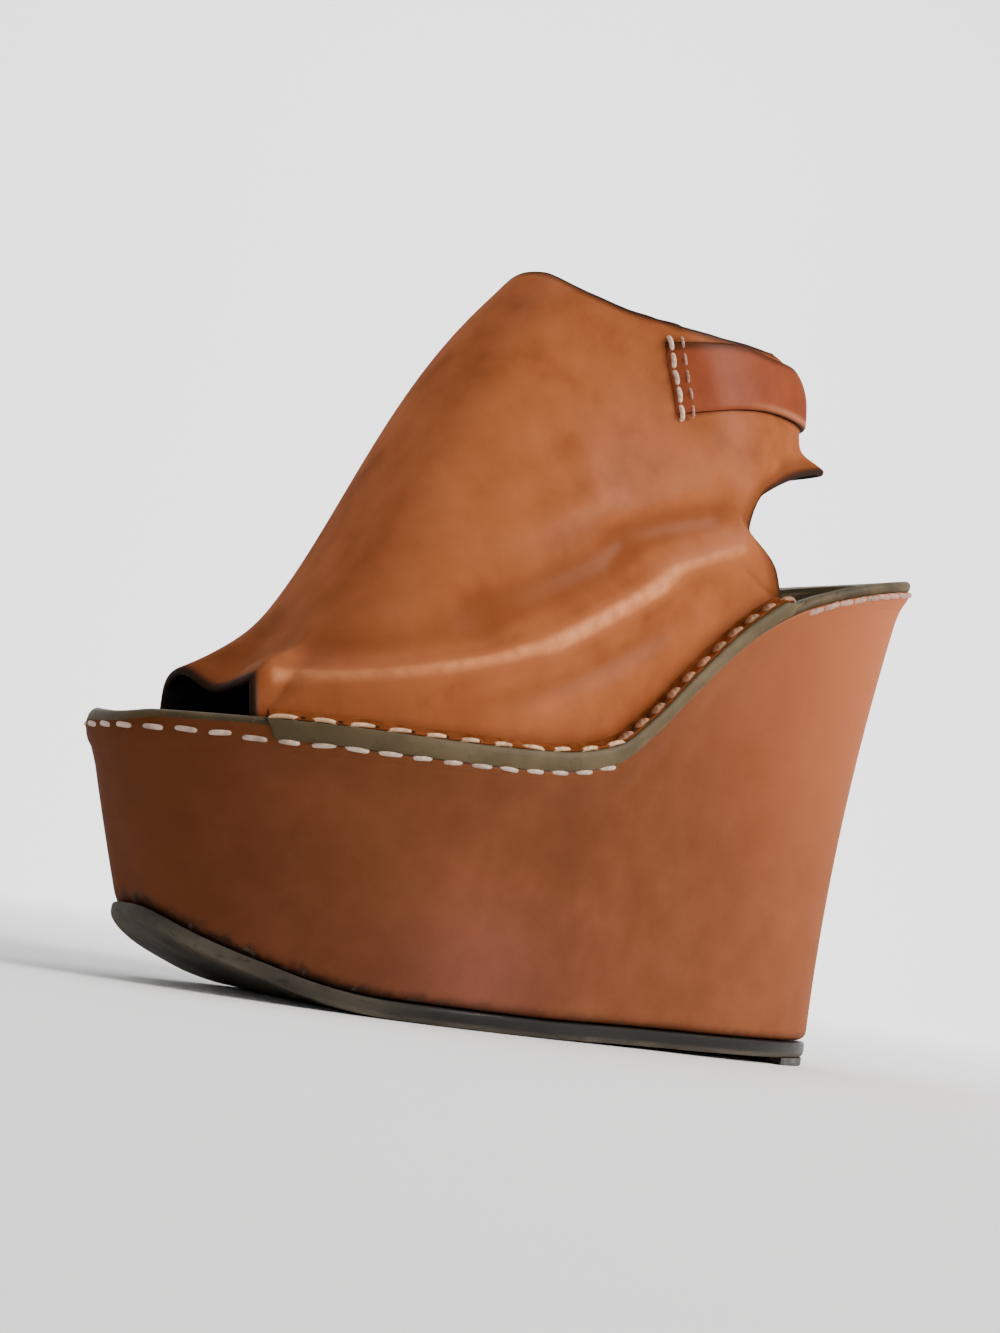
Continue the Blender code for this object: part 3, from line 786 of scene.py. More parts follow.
sock_leather, tree, shader, where = new_material("dark_sock_leather", SOCK_ROUGHNESS, SOCK_GLOSS)
rubbed = span(tree, noise(tree, where, SOCK_RUBBING), SOCK_RUBBED)
dress(shader, {
    "Base Color": tint(tree, rubbed, SOCK_BLACK, SOCK_WORN),
    "Normal": relief(tree, noise(tree, where, LINING_GRAIN), LINING_BUMP),
})

rings = []
for level, inset in INSOLE_RIMS:
    margin = INSOLE_MARGIN + inset
    x, y = outline(margin + INSOLE_TOE, margin, margin)
    rings.append(np.column_stack([x, y, board_top(x) + INSOLE_THICKNESS * level]))
insole = new_piece("sock_lining", np.vstack(rings), stack_faces(len(x), len(rings)), [sock_leather])
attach(insole, "root")
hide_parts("insole")


# Welts
# Olive leather strips sewn on the footbed's margin along the foot of the upper, with their outer
# edge turned down over the footbed's bead. They follow both sides of the foot. Each front end is cut
# off slanting, and each back end is tucked down to the bead.
WELT_STEPS = 220
WELT_SLANT = -0.0019
WELT_TUCK = 0.030
TUCK_IN = 0.75
TUCK_TOP = -0.2
WELT_MOTTLE = Pattern(10.0, 5.0)
WELT_MOTTLED = Band(0.36, 0.62)
WELT_RUBBING = Pattern(1.6, 4.0)
WELT_RUBBED = Band(0.58, 0.74, 0.0, 0.35)
WELT_DARKENED = Band(-0.105, -0.030, 0.75, 0.0)
WELT_BUMP = Bump(0.15, 0.4)

Welt = namedtuple("Welt", "name node side toe_station heel_station")
WELTS = [
    Welt("olive_welt_lateral", "welt_lateral", -1, 0.108, 0.742),
    Welt("olive_welt_medial", "welt_medial", 1, 0.122, 0.726),
]

# Inset from the footbed's edge and lift over it, round the strip's cross section
Strip = namedtuple("Strip", "inset lift")
WELT_STRIP = [
    Strip(3.6, 0.05),
    Strip(0.6, 0.05),
    Strip(0.1, -0.60),
    Strip(0.0, -2.05),
    Strip(-0.3, -2.30),
    Strip(-0.5, -1.95),
    Strip(-0.6, -0.90),
    Strip(-0.6, 0.80),
    Strip(-0.4, 1.90),
    Strip(-0.1, 2.30),
    Strip(0.6, 2.45),
    Strip(3.6, 2.45),
]


def strip_path(side, toe_station, heel_station, steps, inset, lift, slant=0.0):
    """Points along one side of the foot at an inset from the footbed's edge and a lift over it."""
    station = crowded(toe_station + slant * lift, heel_station - slant * lift, steps)
    heel_end = next(welt.heel_station for welt in WELTS if welt.side == side)
    tuck = ease(station, heel_end - WELT_TUCK, heel_end)
    x = LENGTH * station
    y = side * (half_width(side, station) - inset - TUCK_IN * tuck)
    lift = lift + (min(lift, TUCK_TOP) - lift) * tuck
    return np.column_stack([x, y, edge_height(x) + FOOTBED_EDGE + lift])


def strip_piece(name, side, ends, section, material, slant=0.0):
    """Strip with a closed cross section along one side of the foot."""
    rows = [strip_path(side, *ends, WELT_STEPS, row.inset, row.lift, slant) for row in section]
    count = len(section)
    faces = band_faces(count, WELT_STEPS)
    faces += [tuple(range(count)), tuple(range((WELT_STEPS - 1) * count, WELT_STEPS * count))]
    return new_piece(name, np.stack(rows, axis=1), faces, [material])


welt_leather, tree, shader, where = new_material("olive_welt_leather", OLIVE_ROUGHNESS, OLIVE_GLOSS)
rubbed = noise(tree, where, WELT_RUBBING)
lengthwise = add(tree, "ShaderNodeSeparateXYZ", {"Vector": where}).outputs["X"]
colour = tint(tree, span(tree, noise(tree, where, WELT_MOTTLE), WELT_MOTTLED), OLIVE, OLIVE_PALE)
colour = tint(tree, span(tree, rubbed, WELT_RUBBED), colour, OLIVE_DARK)
dress(shader, {
    "Base Color": tint(tree, span(tree, lengthwise, WELT_DARKENED), colour, OLIVE_DARK),
    "Normal": relief(tree, rubbed, WELT_BUMP),
})

for welt in WELTS:
    ends = (welt.toe_station, welt.heel_station)
    strip = strip_piece(welt.name, welt.side, ends, WELT_STRIP, welt_leather, WELT_SLANT)
    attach(strip, "root")
    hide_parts(welt.node)


# Upper
# Vamp, quarters and heel band of smooth waxed tan leather, lasted into one hollow wall with an open
# toe, cut-out sides and a lining coloured near black as painted shade for the dark inside. It stands
# inside the welts, and walking has pressed soft folds into both flanks. Its cut edges are burnished dark.
UPPER_WALL = 2.0
TOPLINE_FRONT = 97.0
TOPLINE_BACK = 180.0
TOPLINE_ROUNDNESS = 0.75
TOPLINE_STEP = 0.01
CREASE_SPREAD = 0.03
CREASE_RISE = 0.24
CREASE_STEPS = 9
FLANK = 25.0
UPPER_COLUMNS = 420
UPPER_ROWS = 100
LINING_ROWS = 26
RIM_POINTS = 5
ROW_CROWDING = 1.25
RIM_SHARE = 0.006
LOW_SWELL = (1, 3)
HIGH_SWELL = (2, 1)
SEATED_LIFT = 3.0
SETTLE = (2.0, 11.0)
SETTLE_LEFT = 0.1
EVEN_START = (0.06, 0.36)
EVEN_END = (0.94, 1.0)
EVEN_PASSES = 70
EVEN_STEP = 0.5

Topline = namedtuple("Topline", "fraction lateral medial height")
TOPLINE = [
    Topline(0.00, 24.0, 23.0, 195.0),
    Topline(0.10, 27.0, 26.0, 189.5),
    Topline(0.25, 29.0, 28.0, 185.8),
    Topline(0.42, 30.0, 28.5, 185.0),
    Topline(0.70, 30.0, 29.0, 187.0),
    Topline(0.90, 29.0, 28.5, 188.6),
    Topline(1.00, 28.0, 28.0, 189.0),
]

# Sections from the toe lip by the outer side to the heel and back. Each rises from a foot, inset from
# the footbed's edge and lifted over it, to a fraction of the topline, pushed out low and high up.
Section = namedtuple("Section", "side station inset lift top belly chest sweep")
UPPER = [
    Section(-1, 0.110, 32.2, 9.7, 0.000, -6.5, 4.5, 0.0),
    Section(-1, 0.102, 17.0, 11.0, 0.012, -6.5, 4.0, 0.0),
    Section(-1, 0.098, 7.5, 12.3, 0.030, -7.5, 3.0, 0.0),
    Section(-1, 0.104, 4.3, 0.3, 0.040, -3.0, 3.0, 0.0),
    Section(-1, 0.170, 4.3, 0.3, 0.065, 0.8, 2.5, 0.0),
    Section(-1, 0.270, 4.3, 0.3, 0.100, 4.0, 1.0, 0.0),
    Section(-1, 0.370, 4.3, 0.3, 0.140, 5.0, 0.5, 0.0),
    Section(-1, 0.460, 4.3, 0.3, 0.190, 5.5, 0.5, 0.0),
    Section(-1, 0.540, 4.3, 0.3, 0.223, 5.5, 0.5, 2.0),
    Section(-1, 0.620, 4.3, 0.3, 0.256, 5.0, 0.5, -7.6),
    Section(-1, 0.690, 4.3, 0.3, 0.294, 4.0, 0.5, -16.0),
    Section(-1, 0.728, 4.3, 0.3, 0.367, 2.0, 0.5, -16.0),
    Section(-1, 0.711, 4.0, 11.5, 0.392, 1.5, 0.5, -16.0),
    Section(-1, 0.660, 4.2, 30.0, 0.516, 1.5, 0.5, -5.1),
    Section(-1, 0.680, 5.6, 36.5, 0.800, 0.7, 0.5, 4.0),
    Section(-1, 0.735, 9.6, 35.5, 0.834, -0.5, 1.0, -4.6),
    Section(-1, 0.808, 15.6, 34.0, 0.930, -2.0, 4.5, 0.0),
    Section(-1, 0.812, 32.4, 33.0, 1.000, 1.5, 5.5, 0.0),
    Section(1, 0.785, 14.0, 33.0, 0.930, 1.0, 3.5, 0.0),
    Section(1, 0.735, 6.2, 30.5, 0.755, 0.5, 1.0, 0.0),
    Section(1, 0.690, 3.6, 28.5, 0.622, 0.5, 0.5, 0.0),
    Section(1, 0.662, 3.0, 25.0, 0.545, 1.0, 0.5, -1.0),
    Section(1, 0.690, 3.6, 9.5, 0.510, 1.5, 0.5, -8.0),
    Section(1, 0.712, 4.3, 0.3, 0.475, 2.0, 0.5, -11.0),
    Section(1, 0.670, 4.3, 0.3, 0.420, 3.0, 0.5, -8.0),
    Section(1, 0.610, 4.3, 0.3, 0.335, 3.5, 0.5, -4.0),
    Section(1, 0.530, 4.3, 0.3, 0.255, 4.0, 0.5, 0.0),
    Section(1, 0.450, 4.3, 0.3, 0.190, 4.5, 0.5, 0.0),
    Section(1, 0.360, 4.3, 0.3, 0.140, 4.5, 0.5, 0.0),
    Section(1, 0.270, 4.3, 0.3, 0.100, 3.0, 1.0, 0.0),
    Section(1, 0.185, 4.3, 0.3, 0.065, 0.0, 2.5, 0.0),
    Section(1, 0.118, 4.3, 0.3, 0.040, -3.0, 3.0, 0.0),
    Section(1, 0.112, 5.2, 9.5, 0.030, -8.0, 3.0, 0.0),
    Section(1, 0.100, 16.4, 14.0, 0.012, -9.0, 4.0, 0.0),
]

# Columns of the rows that section_rows works out from these sections
FOOT = slice(0, 3)
LIFT = 2
TOP = slice(3, 6)
OUT = slice(6, 9)
BELLY = [9]
CHEST = [10]
SWEEP = [11]

# Folds on each flank as bent lines of x and z: a ridge stands up from the leather, a trough dips in
Fold = namedtuple("Fold", "side start bend end width height")
FOLDS = [
    Fold(-1, (6.0, 70.8), (60.0, 76.2), (104.0, 99.5), 3.4, 1.7),
    Fold(-1, (84.0, 88.0), (108.0, 102.0), (140.0, 125.0), 3.8, 1.8),
    Fold(-1, (122.0, 116.0), (144.0, 127.5), (163.0, 134.5), 3.4, 1.4),
    Fold(-1, (26.0, 80.5), (54.0, 84.0), (84.0, 99.0), 5.5, -1.3),
    Fold(-1, (66.0, 93.0), (92.0, 106.0), (124.0, 128.0), 6.5, -1.9),
    Fold(-1, (106.0, 120.0), (131.0, 134.0), (156.0, 141.5), 5.0, -1.9),
    Fold(-1, (58.0, 71.5), (98.0, 79.0), (152.0, 122.0), 4.6, -1.1),
    Fold(-1, (74.0, 112.0), (92.0, 124.0), (118.0, 139.0), 6.0, 0.8),
    Fold(-1, (66.0, 126.0), (84.0, 136.0), (104.0, 146.0), 8.0, -0.6),
    Fold(1, (90.0, 152.0), (102.0, 151.0), (116.0, 146.0), 4.2, 1.4),
    Fold(1, (88.0, 141.0), (102.0, 141.0), (118.0, 137.0), 4.6, -1.3),
    Fold(1, (78.0, 103.0), (95.0, 121.0), (128.0, 128.0), 5.2, 1.5),
    Fold(1, (83.0, 138.0), (89.0, 130.0), (95.0, 121.0), 4.2, 1.0),
    Fold(1, (30.0, 75.0), (62.0, 80.0), (92.0, 96.0), 5.0, 1.1),
    Fold(1, (60.0, 71.0), (98.0, 79.0), (146.0, 112.0), 5.0, -0.9),
    Fold(1, (118.0, 126.0), (138.0, 128.0), (156.0, 134.0), 5.0, 1.0),
]
FOLD_SAMPLES = 20
FOLD_CREST = 1.2
FOLD_END = 0.22
FOLD_FROM_FOOT = (0.0, 7.0)
RIDGE_JOIN = 3.0
SIDE_FADE = (3.0, 13.0)

UPPER_HIDE = Hide(
    deep=(0.155, 0.041, 0.012),
    mid=(0.245, 0.070, 0.023),
    light=(0.330, 0.100, 0.036),
    roughness=0.48,
    wax=0.05,
)
# Painted light and shade on the folds: troughs darker, ridges lighter, and the highest crests paler still,
# partly rubbed leather and partly painted highlight.
UPPER_CREST_HIGHLIGHT_AND_WEAR = (0.560, 0.210, 0.085)
TROUGH_PAINTED_SHADE = Band(-0.2, -1.6, 0.0, 0.65)
RIDGE_HIGHLIGHT_AND_WEAR = Band(0.2, 1.1, 0.0, 0.5)
CREST_HIGHLIGHT_BAND = Band(0.9, 1.7)
CREST_PATCHES = Pattern(4.0, 4.0)
CREST_PATCHINESS = Band(0.30, 0.62, 0.45, 0.90)
SHADE_SHARE = 0.5
TOE_SHADE = 0.8
TOE_SHADE_FADE = (20.0, 70.0)
FOOT_SHADE_FADE = (2.0, 7.0)
RIM_BURNISH = 0.85
TOP_BURNISHED = (0.0, 1.6)
FOOT_BURNISHED = (0.0, 2.0)
EDGE_BROWN = (0.022, 0.009, 0.005)
EDGE_ROUGHNESS = 0.75
EDGE_GLOSS = 0.05
EDGE_GRAIN = Pattern(1.0, 3.0)
LINING_SHADE_BLACK = (0.010, 0.008, 0.007)
LINING_ROUGHNESS = 0.8
LINING_GLOSS = 0.1
SCRATCH_PALE = (0.420, 0.190, 0.090)
SCRATCH_BREAKS = Pattern(1.2, 3.0)
SCRATCH_BROKEN = Band(0.36, 0.52)
SCRATCH_SHARE = 0.8
UPPER_SCRATCHES = [
    Mark((82.9, -22.5, 158.5), (90.0, -25.5, 158.2), 0.55),
    Mark((90.0, -25.5, 158.2), (98.5, -27.5, 158.9), 0.40),
]
SPECK_PALE = (0.560, 0.420, 0.310)
UPPER_SPECK = Mark((103.3, -42.0, 75.5), (104.3, -42.0, 75.6), 1.3)


def unit(vectors):
    """Vectors drawn to a length of one."""
    return vectors / np.linalg.norm(vectors, axis=-1, keepdims=True)


def apart(points, others):
    """Distance of each point from another."""
    return np.linalg.norm(points - others, axis=-1)


def topline(side, fraction):
    """Points of the upper's rim on one side."""
    fraction = np.asarray(fraction, float)
    name = "lateral" if side < 0 else "medial"
    knots = column(TOPLINE, "fraction")
    half = smooth(knots, column(TOPLINE, name), fraction)
    cosine = 1 - 2 * np.clip(fraction, 0.0, 1.0)
    y = side * half * np.sqrt(1 - cosine**2) ** TOPLINE_ROUNDNESS
    x = TOPLINE_FRONT + (TOPLINE_BACK - TOPLINE_FRONT) * fraction
    return np.column_stack([x, y, smooth(knots, column(TOPLINE, "height"), fraction)])


def section_rows():
    """Foot, top, outward heading and swells of each section of the upper."""
    rows = []
    for row in UPPER:
        x = LENGTH * row.station
        y = row.side * (half_width(row.side, row.station)[0] - row.inset)
        top = topline(row.side, [row.top])[0]
        beside = np.clip([row.top - TOPLINE_STEP, row.top + TOPLINE_STEP], 0.0, 1.0)
        before, after = topline(row.side, beside)
        along = (after - before) * (1 if row.side < 0 else -1)
        if row.top in (0.0, 1.0):
            along = np.array([0.0, -1.0 if row.top == 0.0 else 1.0, 0.0])
        foot = [x, y, edge_height(x)[0] + FOOTBED_EDGE + row.lift]
        out = unit(np.cross(along, top - foot))
        rows.append((x, y, row.lift, *top, *out, row.belly, row.chest, row.sweep))
    return np.array(rows)


sections = section_rows()
gaps = np.linalg.norm(np.diff(np.vstack([sections, sections[:1]])[:, :TOP.stop], axis=0), axis=1)
AROUND = np.concatenate([[0.0], np.cumsum(gaps)]) / gaps.sum()
WRAP = 4
RING_KNOTS = np.concatenate([AROUND[-WRAP - 1:-1] - 1, AROUND[:-1], AROUND[:WRAP + 1] + 1])
RING_TABLE = np.vstack([sections[-WRAP:], sections, sections[:WRAP + 1]])


def upper_face(around, up):
    """Outer face of the upper at fractions round the foot (columns) and up each section (rows).

    Corners of the foot line fade out up the wall, and above the welts the wall first stands
    upright before it bellies out.
    """
    sharp = smooth(RING_KNOTS, RING_TABLE, around)
    steps = np.linspace(-CREASE_SPREAD, CREASE_SPREAD, CREASE_STEPS)
    soft = np.mean([smooth(RING_KNOTS, RING_TABLE, around + step) for step in steps], axis=0)
    seated = (1 - np.clip(sharp[:, LIFT] / SEATED_LIFT, 0.0, 1.0))[:, None, None]
    for read in (sharp, soft):
        read[:, LIFT] += edge_height(read[:, 0]) + FOOTBED_EDGE
    v = up[None, :, None]
    foot = sharp[:, None, FOOT] + (soft - sharp)[:, None, FOOT] * ease(v, 0.0, CREASE_RISE)
    top = sharp[:, None, TOP]
    low = bulge(v, *LOW_SWELL)
    rise = v * apart(top, foot)[..., None]
    settled = ease(rise, *SETTLE, SETTLE_LEFT)
    low_out = low * (1 + (settled - 1) * seated)
    swell = soft[:, None, BELLY] * low_out + soft[:, None, CHEST] * bulge(v, *HIGH_SWELL)
    points = foot + (top - foot) * v + unit(soft[:, None, OUT]) * swell
    points[..., 0] += soft[:, SWEEP] * low[..., 0]
    return points


def evened(wall, shares):
    """Wall grid with its upright kinks evened out between the rims, which stay in place."""
    free = ease(shares, *EVEN_START) * (1 - ease(shares, *EVEN_END))
    for _ in range(EVEN_PASSES):
        beside = (np.roll(wall, 1, axis=0) + np.roll(wall, -1, axis=0)) / 2
        wall = wall + (beside - wall) * EVEN_STEP * free[None, :, None]
    return wall


def outward(points, round_shut):
    """Unit normals of a grid on the upper, pointing away from the foot."""
    if round_shut:
        along = np.roll(points, -1, axis=0) - np.roll(points, 1, axis=0)
    else:
        along = np.gradient(points, axis=0)
    normal = np.cross(along, np.gradient(points, axis=1))
    y = points[..., 1]
    inwards = (y * normal[..., 1] < 0) & (np.abs(y) > FLANK)
    normal[inwards] *= -1
    return unit(normal)


def fold_height(points):
    """How far the folds lift or sink each point of the upper."""
    grooves = np.zeros(points.shape[:2])
    ridges = np.zeros(points.shape[:2])
    flat = points[..., ::2]
    t = np.linspace(0.0, 1.0, FOLD_SAMPLES + 1)[:, None]
    for fold in FOLDS:
        start, bend, end = (np.array(place) for place in (fold.start, fold.bend, fold.end))
        line = start * (1 - t) ** 2 + 2 * bend * t * (1 - t) + end * t**2
        best = np.full(points.shape[:2], np.inf)
        share = np.zeros(points.shape[:2])
        for k, (place, run) in enumerate(zip(line[:-1], np.diff(line, axis=0))):
            part = np.clip((flat - place) @ run / (run @ run), 0.0, 1.0)
            off = apart(flat - place, part[..., None] * run)
            nearer = off < best
            best = np.where(nearer, off, best)
            share = np.where(nearer, (k + part) / FOLD_SAMPLES, share)
        taper = ease(share, 0.0, FOLD_END) * (1 - ease(share, 1 - FOLD_END, 1.0))
        on_side = ease(points[..., 1] * fold.side, *SIDE_FADE)
        if fold.height > 0:
            profile = np.exp((FOLD_CREST - np.hypot(best, FOLD_CREST)) / fold.width)
            ridges += (fold.height * profile * taper * on_side) ** RIDGE_JOIN
        else:
            profile = np.exp(-((best / fold.width) ** 2))
            grooves += fold.height * profile * taper * on_side
    from_foot = apart(points, points[:, :1])
    return (grooves + ridges ** (1 / RIDGE_JOIN)) * ease(from_foot, *FOLD_FROM_FOOT)


def plain_leather(name, colour, roughness, gloss, grain):
    """Leather of one colour with a fine grain."""
    material, tree, shader, where = new_material(name, roughness, gloss)
    dress(shader, {"Base Color": colour, "Normal": relief(tree, noise(tree, where, grain), LINING_BUMP)})
    return material


upper_skin, tree, shader, where, colour = waxed_leather("upper_leather", UPPER_HIDE)
crease = attribute(tree, "crease")
# Painted shade in the folds' troughs; painted highlight, with some wear, on their ridges and crests,
# broken into patches.
colour = tint(tree, span(tree, crease, TROUGH_PAINTED_SHADE), colour, UPPER_HIDE.deep)
colour = tint(tree, span(tree, crease, RIDGE_HIGHLIGHT_AND_WEAR), colour, UPPER_HIDE.light)
worn = span(tree, noise(tree, where, CREST_PATCHES), CREST_PATCHINESS)
colour = tint(tree, times(tree, span(tree, crease, CREST_HIGHLIGHT_BAND), worn), colour, UPPER_CREST_HIGHLIGHT_AND_WEAR)
# Painted shade, darker at the toe and along the upper's lower edge.
colour = touched(tree, colour, "shade", SHADE_SHARE, PATINA_AND_SHADE_BROWN)
colour = touched(tree, colour, "rim", RIM_BURNISH, EDGE_BROWN)
broken = span(tree, noise(tree, where, SCRATCH_BREAKS), SCRATCH_BROKEN)
for mark in UPPER_SCRATCHES:
    line = times(tree, near_line(tree, where, mark), broken)
    colour = tint(tree, times(tree, line, SCRATCH_SHARE), colour, SCRATCH_PALE)
dress(shader, {"Base Color": tint(tree, near_line(tree, where, UPPER_SPECK), colour, SPECK_PALE)})
cut_edge = plain_leather("burnished_edge", EDGE_BROWN, EDGE_ROUGHNESS, EDGE_GLOSS, EDGE_GRAIN)
# The lining is coloured near black as painted shade for the dark inside of the shoe.
lining_leather = plain_leather("lining_shade_black", LINING_SHADE_BLACK, LINING_ROUGHNESS, LINING_GLOSS, LINING_GRAIN)

around = np.linspace(0.0, 1.0, UPPER_COLUMNS, endpoint=False)
up = RIM_SHARE + (1 - 2 * RIM_SHARE) * np.linspace(0.0, 1.0, UPPER_ROWS) ** ROW_CROWDING
plain = evened(upper_face(around, up), up)
normal = outward(plain, True)
folds = fold_height(plain)
face = plain + normal * folds[..., None]
pick_rows = np.linspace(UPPER_ROWS - 1, 0, LINING_ROWS).round().astype(int)
lining = (face - normal * UPPER_WALL)[:, pick_rows]


def rolled_rim(row, away):
    """Half round edge from the outer face over to the lining at the top or bottom row."""
    reach = UPPER_WALL / 2
    middle = face[:, row] - normal[:, row] * reach
    along = unit(face[:, row] - face[:, away])
    turn = np.linspace(0.0, np.pi, RIM_POINTS + 2)[1:-1]
    rows = [middle + normal[:, row] * reach * np.cos(t) + along * reach * np.sin(t) for t in turn]
    return np.stack(rows, axis=1)


loop = np.concatenate([face, rolled_rim(-1, -2), lining, rolled_rim(0, 1)[:, ::-1]], axis=1)
columns, rows = loop.shape[:2]
materials = [upper_skin, cut_edge, lining_leather]
lining_start = UPPER_ROWS + RIM_POINTS
row_part = np.full(rows, materials.index(cut_edge))
row_part[:UPPER_ROWS - 1] = materials.index(upper_skin)
row_part[lining_start:lining_start + LINING_ROWS - 1] = materials.index(lining_leather)
to_top = apart(face, face[:, -1:])
to_foot = apart(face, face[:, :1])
burnished = np.maximum(1 - ease(to_top, *TOP_BURNISHED), 1 - ease(to_foot, *FOOT_BURNISHED))
# Painted shade: the upper darkens towards the toe and within a few millimetres of its lower edge.
toe_shade = TOE_SHADE * (1 - ease(face[..., 0], *TOE_SHADE_FADE))
shade = np.maximum(toe_shade, 1 - ease(to_foot, *FOOT_SHADE_FADE))
values = {}
for key, tone, elsewhere in (("crease", folds, 0.0), ("rim", burnished, 1.0), ("shade", shade, 0.0)):
    values[key] = np.full((columns, rows), elsewhere)
    values[key][:, :UPPER_ROWS] = tone
upper = new_piece("leather_upper", loop, loop_faces(columns, rows), materials,
                  np.tile(row_part, columns), values)
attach(upper, "root")
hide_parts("upper")


# Turned margin
# The foot of the upper leather is turned out over each welt as a narrow tan margin, which the welt
# stitches go through. It closes the crevice between the welt and the wall.
MARGIN_STRIP = [
    Strip(5.2, 2.40),
    Strip(0.8, 2.40),
    Strip(0.45, 2.55),
    Strip(0.35, 2.80),
    Strip(0.55, 3.10),
    Strip(1.1, 3.25),
    Strip(3.0, 3.30),
    Strip(3.8, 3.60),
    Strip(4.4, 4.40),
    Strip(5.2, 4.80),
]
MARGIN_SHORTER = 0.004
MARGIN_HIDE = Hide(TAN_HIDE.mid, UPPER_HIDE.deep, UPPER_HIDE.mid, roughness=0.5, wax=0.0)
MARGIN_GRIME = Pattern(3.0, 4.0)
MARGIN_DARKENED = Band(0.4, 0.65, 0.1, 0.6)

margin_skin, tree, shader, where, colour = waxed_leather("margin_leather", MARGIN_HIDE)
grime = span(tree, noise(tree, where, MARGIN_GRIME), MARGIN_DARKENED)
dress(shader, {"Base Color": tint(tree, grime, colour, PATINA_AND_SHADE_BROWN)})

for welt in WELTS:
    ends = (welt.toe_station + MARGIN_SHORTER, welt.heel_station - MARGIN_SHORTER)
    name = welt.name.replace("olive_welt", "turned_margin")
    margin = strip_piece(name, welt.side, ends, MARGIN_STRIP, margin_skin)
    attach(margin, "root")


# Sling strap end
# The heel band's end, cut from a redder brown leather, laid over the outer quarter and sewn down
# with two short rows at its front, where it is skived thin. Its edges are rounded over, and a band
# along the top is darkened as painted shadow.
TAB_THICKNESS = 1.6
TAB_START_TOP = 0.200
TAB_BACK_TOP = 0.985
TAB_FRONT = (130.4, 124.6)
TAB_READINGS = 400
TAB_COLUMNS = 200
TAB_ROWS = 44
TAB_PASSES = 5
TAB_EDGE_ROUND = 1.1
TAB_EDGE_LEFT = 0.25
TAB_SINK = 0.15
TAB_SKIVED = 0.5
SKIVE_LENGTH = 5.0
STRAP_HIDE = Hide(
    deep=(0.125, 0.029, 0.011),
    mid=(0.190, 0.045, 0.018),
    light=(0.240, 0.062, 0.026),
    roughness=0.46,
    wax=0.06,
)
TAB_WORN = (0.380, 0.150, 0.080)
TOP_SHADOW_SHARE = 0.75
TOP_SHADOW_FADE = (0.8, 3.2)
LOW_LINE_SHARE = 0.6
LOW_LINE_AT = 1.2
LOW_LINE_WIDTH = 0.8
LOW_LINE_START = (0.25, 0.6)
TAB_RIM_FADE = (0.0, 0.5)

TabEdge = namedtuple("TabEdge", "x low high")
TAB_EDGES = [
    TabEdge(124.0, 159.8, 179.7),
    TabEdge(134.6, 163.3, 182.5),
    TabEdge(151.4, 168.4, 185.8),
    TabEdge(161.5, 170.5, 186.0),
    TabEdge(176.0, 172.0, 186.6),
    TabEdge(192.0, 173.6, 186.9),
]

tab_skin, tree, shader, where, colour = waxed_leather("strap_leather", STRAP_HIDE)
# Painted shadow: a dark band along the strap end's top edge.
colour = touched(tree, colour, "upper_edge", TOP_SHADOW_SHARE, EDGE_BROWN)
colour = touched(tree, colour, "lower_edge", LOW_LINE_SHARE, TAB_WORN)
dress(shader, {"Base Color": tint(tree, attribute(tree, "rim"), colour, EDGE_BROWN)})


def tab_height(x, across):
    """Height over the floor at a share of the way across the strap end."""
    knots = column(TAB_EDGES, "x")
    low = smooth(knots, column(TAB_EDGES, "low"), x)
    high = smooth(knots, column(TAB_EDGES, "high"), x)
    return low + (high - low) * across


def path_length(path):
    """Length along a path up to each of its points."""
    return np.concatenate([[0.0], np.cumsum(apart(path[1:], path[:-1]))])


def read_path(at, length, path):
    """Points of a path at lengths along it."""
    return np.column_stack([np.interp(at, length, path[:, axis]) for axis in range(3)])


def tab_seat(along, shares):
    """Points on the upper under the strap end, at shares along it and across it."""
    outer = [k for k, row in enumerate(UPPER) if row.side < 0]
    tops = np.linspace(TAB_START_TOP, TAB_BACK_TOP, TAB_READINGS)
    place = np.interp(tops, column(UPPER, "top")[outer], AROUND[outer]) * UPPER_COLUMNS
    left = place.astype(int)
    part = (place - left)[:, None, None]
    wall = plain[left] * (1 - part) + plain[left + 1] * part
    rows = []
    for across in shares:
        x = wall[:, -1, 0]
        for _ in range(TAB_PASSES):
            wanted = tab_height(x, across)
            x = np.array([np.interp(want, line[:, 2], line[:, 0]) for want, line in zip(wanted, wall)])
        y = np.array([np.interp(want, line[:, 2], line[:, 1]) for want, line in zip(wanted, wall)])
        line = np.column_stack([x, y, wanted])
        length = path_length(line)
        front = TAB_FRONT[0] + (TAB_FRONT[1] - TAB_FRONT[0]) * across
        start = length[np.argmax(x > front)]
        rows.append(read_path(start + (length[-1] - start) * along, length, line))
    return np.stack(rows, axis=1)


along = crowded(0.0, 1.0, TAB_COLUMNS)
seat = tab_seat(along, crowded(0.0, 1.0, TAB_ROWS))
tab_out = outward(seat, False)
from_low = apart(seat, seat[:, :1])
from_high = apart(seat, seat[:, -1:])
from_front = apart(seat, seat[:1])
from_back = apart(seat, seat[-1:])
nearest = np.minimum.reduce([from_low, from_high, from_front, from_back])
roundness = np.sqrt(1 - (1 - np.clip(nearest / TAB_EDGE_ROUND, 0.0, 1.0)) ** 2)
skived = ease(from_front, 0.0, SKIVE_LENGTH, TAB_SKIVED)
thickness = TAB_THICKNESS * skived * (TAB_EDGE_LEFT + (1 - TAB_EDGE_LEFT) * roundness)
top_side = seat + tab_out * thickness[..., None]
under_side = seat - tab_out * TAB_SINK
points = np.concatenate([top_side.reshape(-1, 3), under_side.reshape(-1, 3)])
layer = TAB_COLUMNS * TAB_ROWS
faces = band_faces(TAB_ROWS, TAB_COLUMNS, False)
faces += [tuple(layer + k for k in reversed(quad)) for quad in faces]
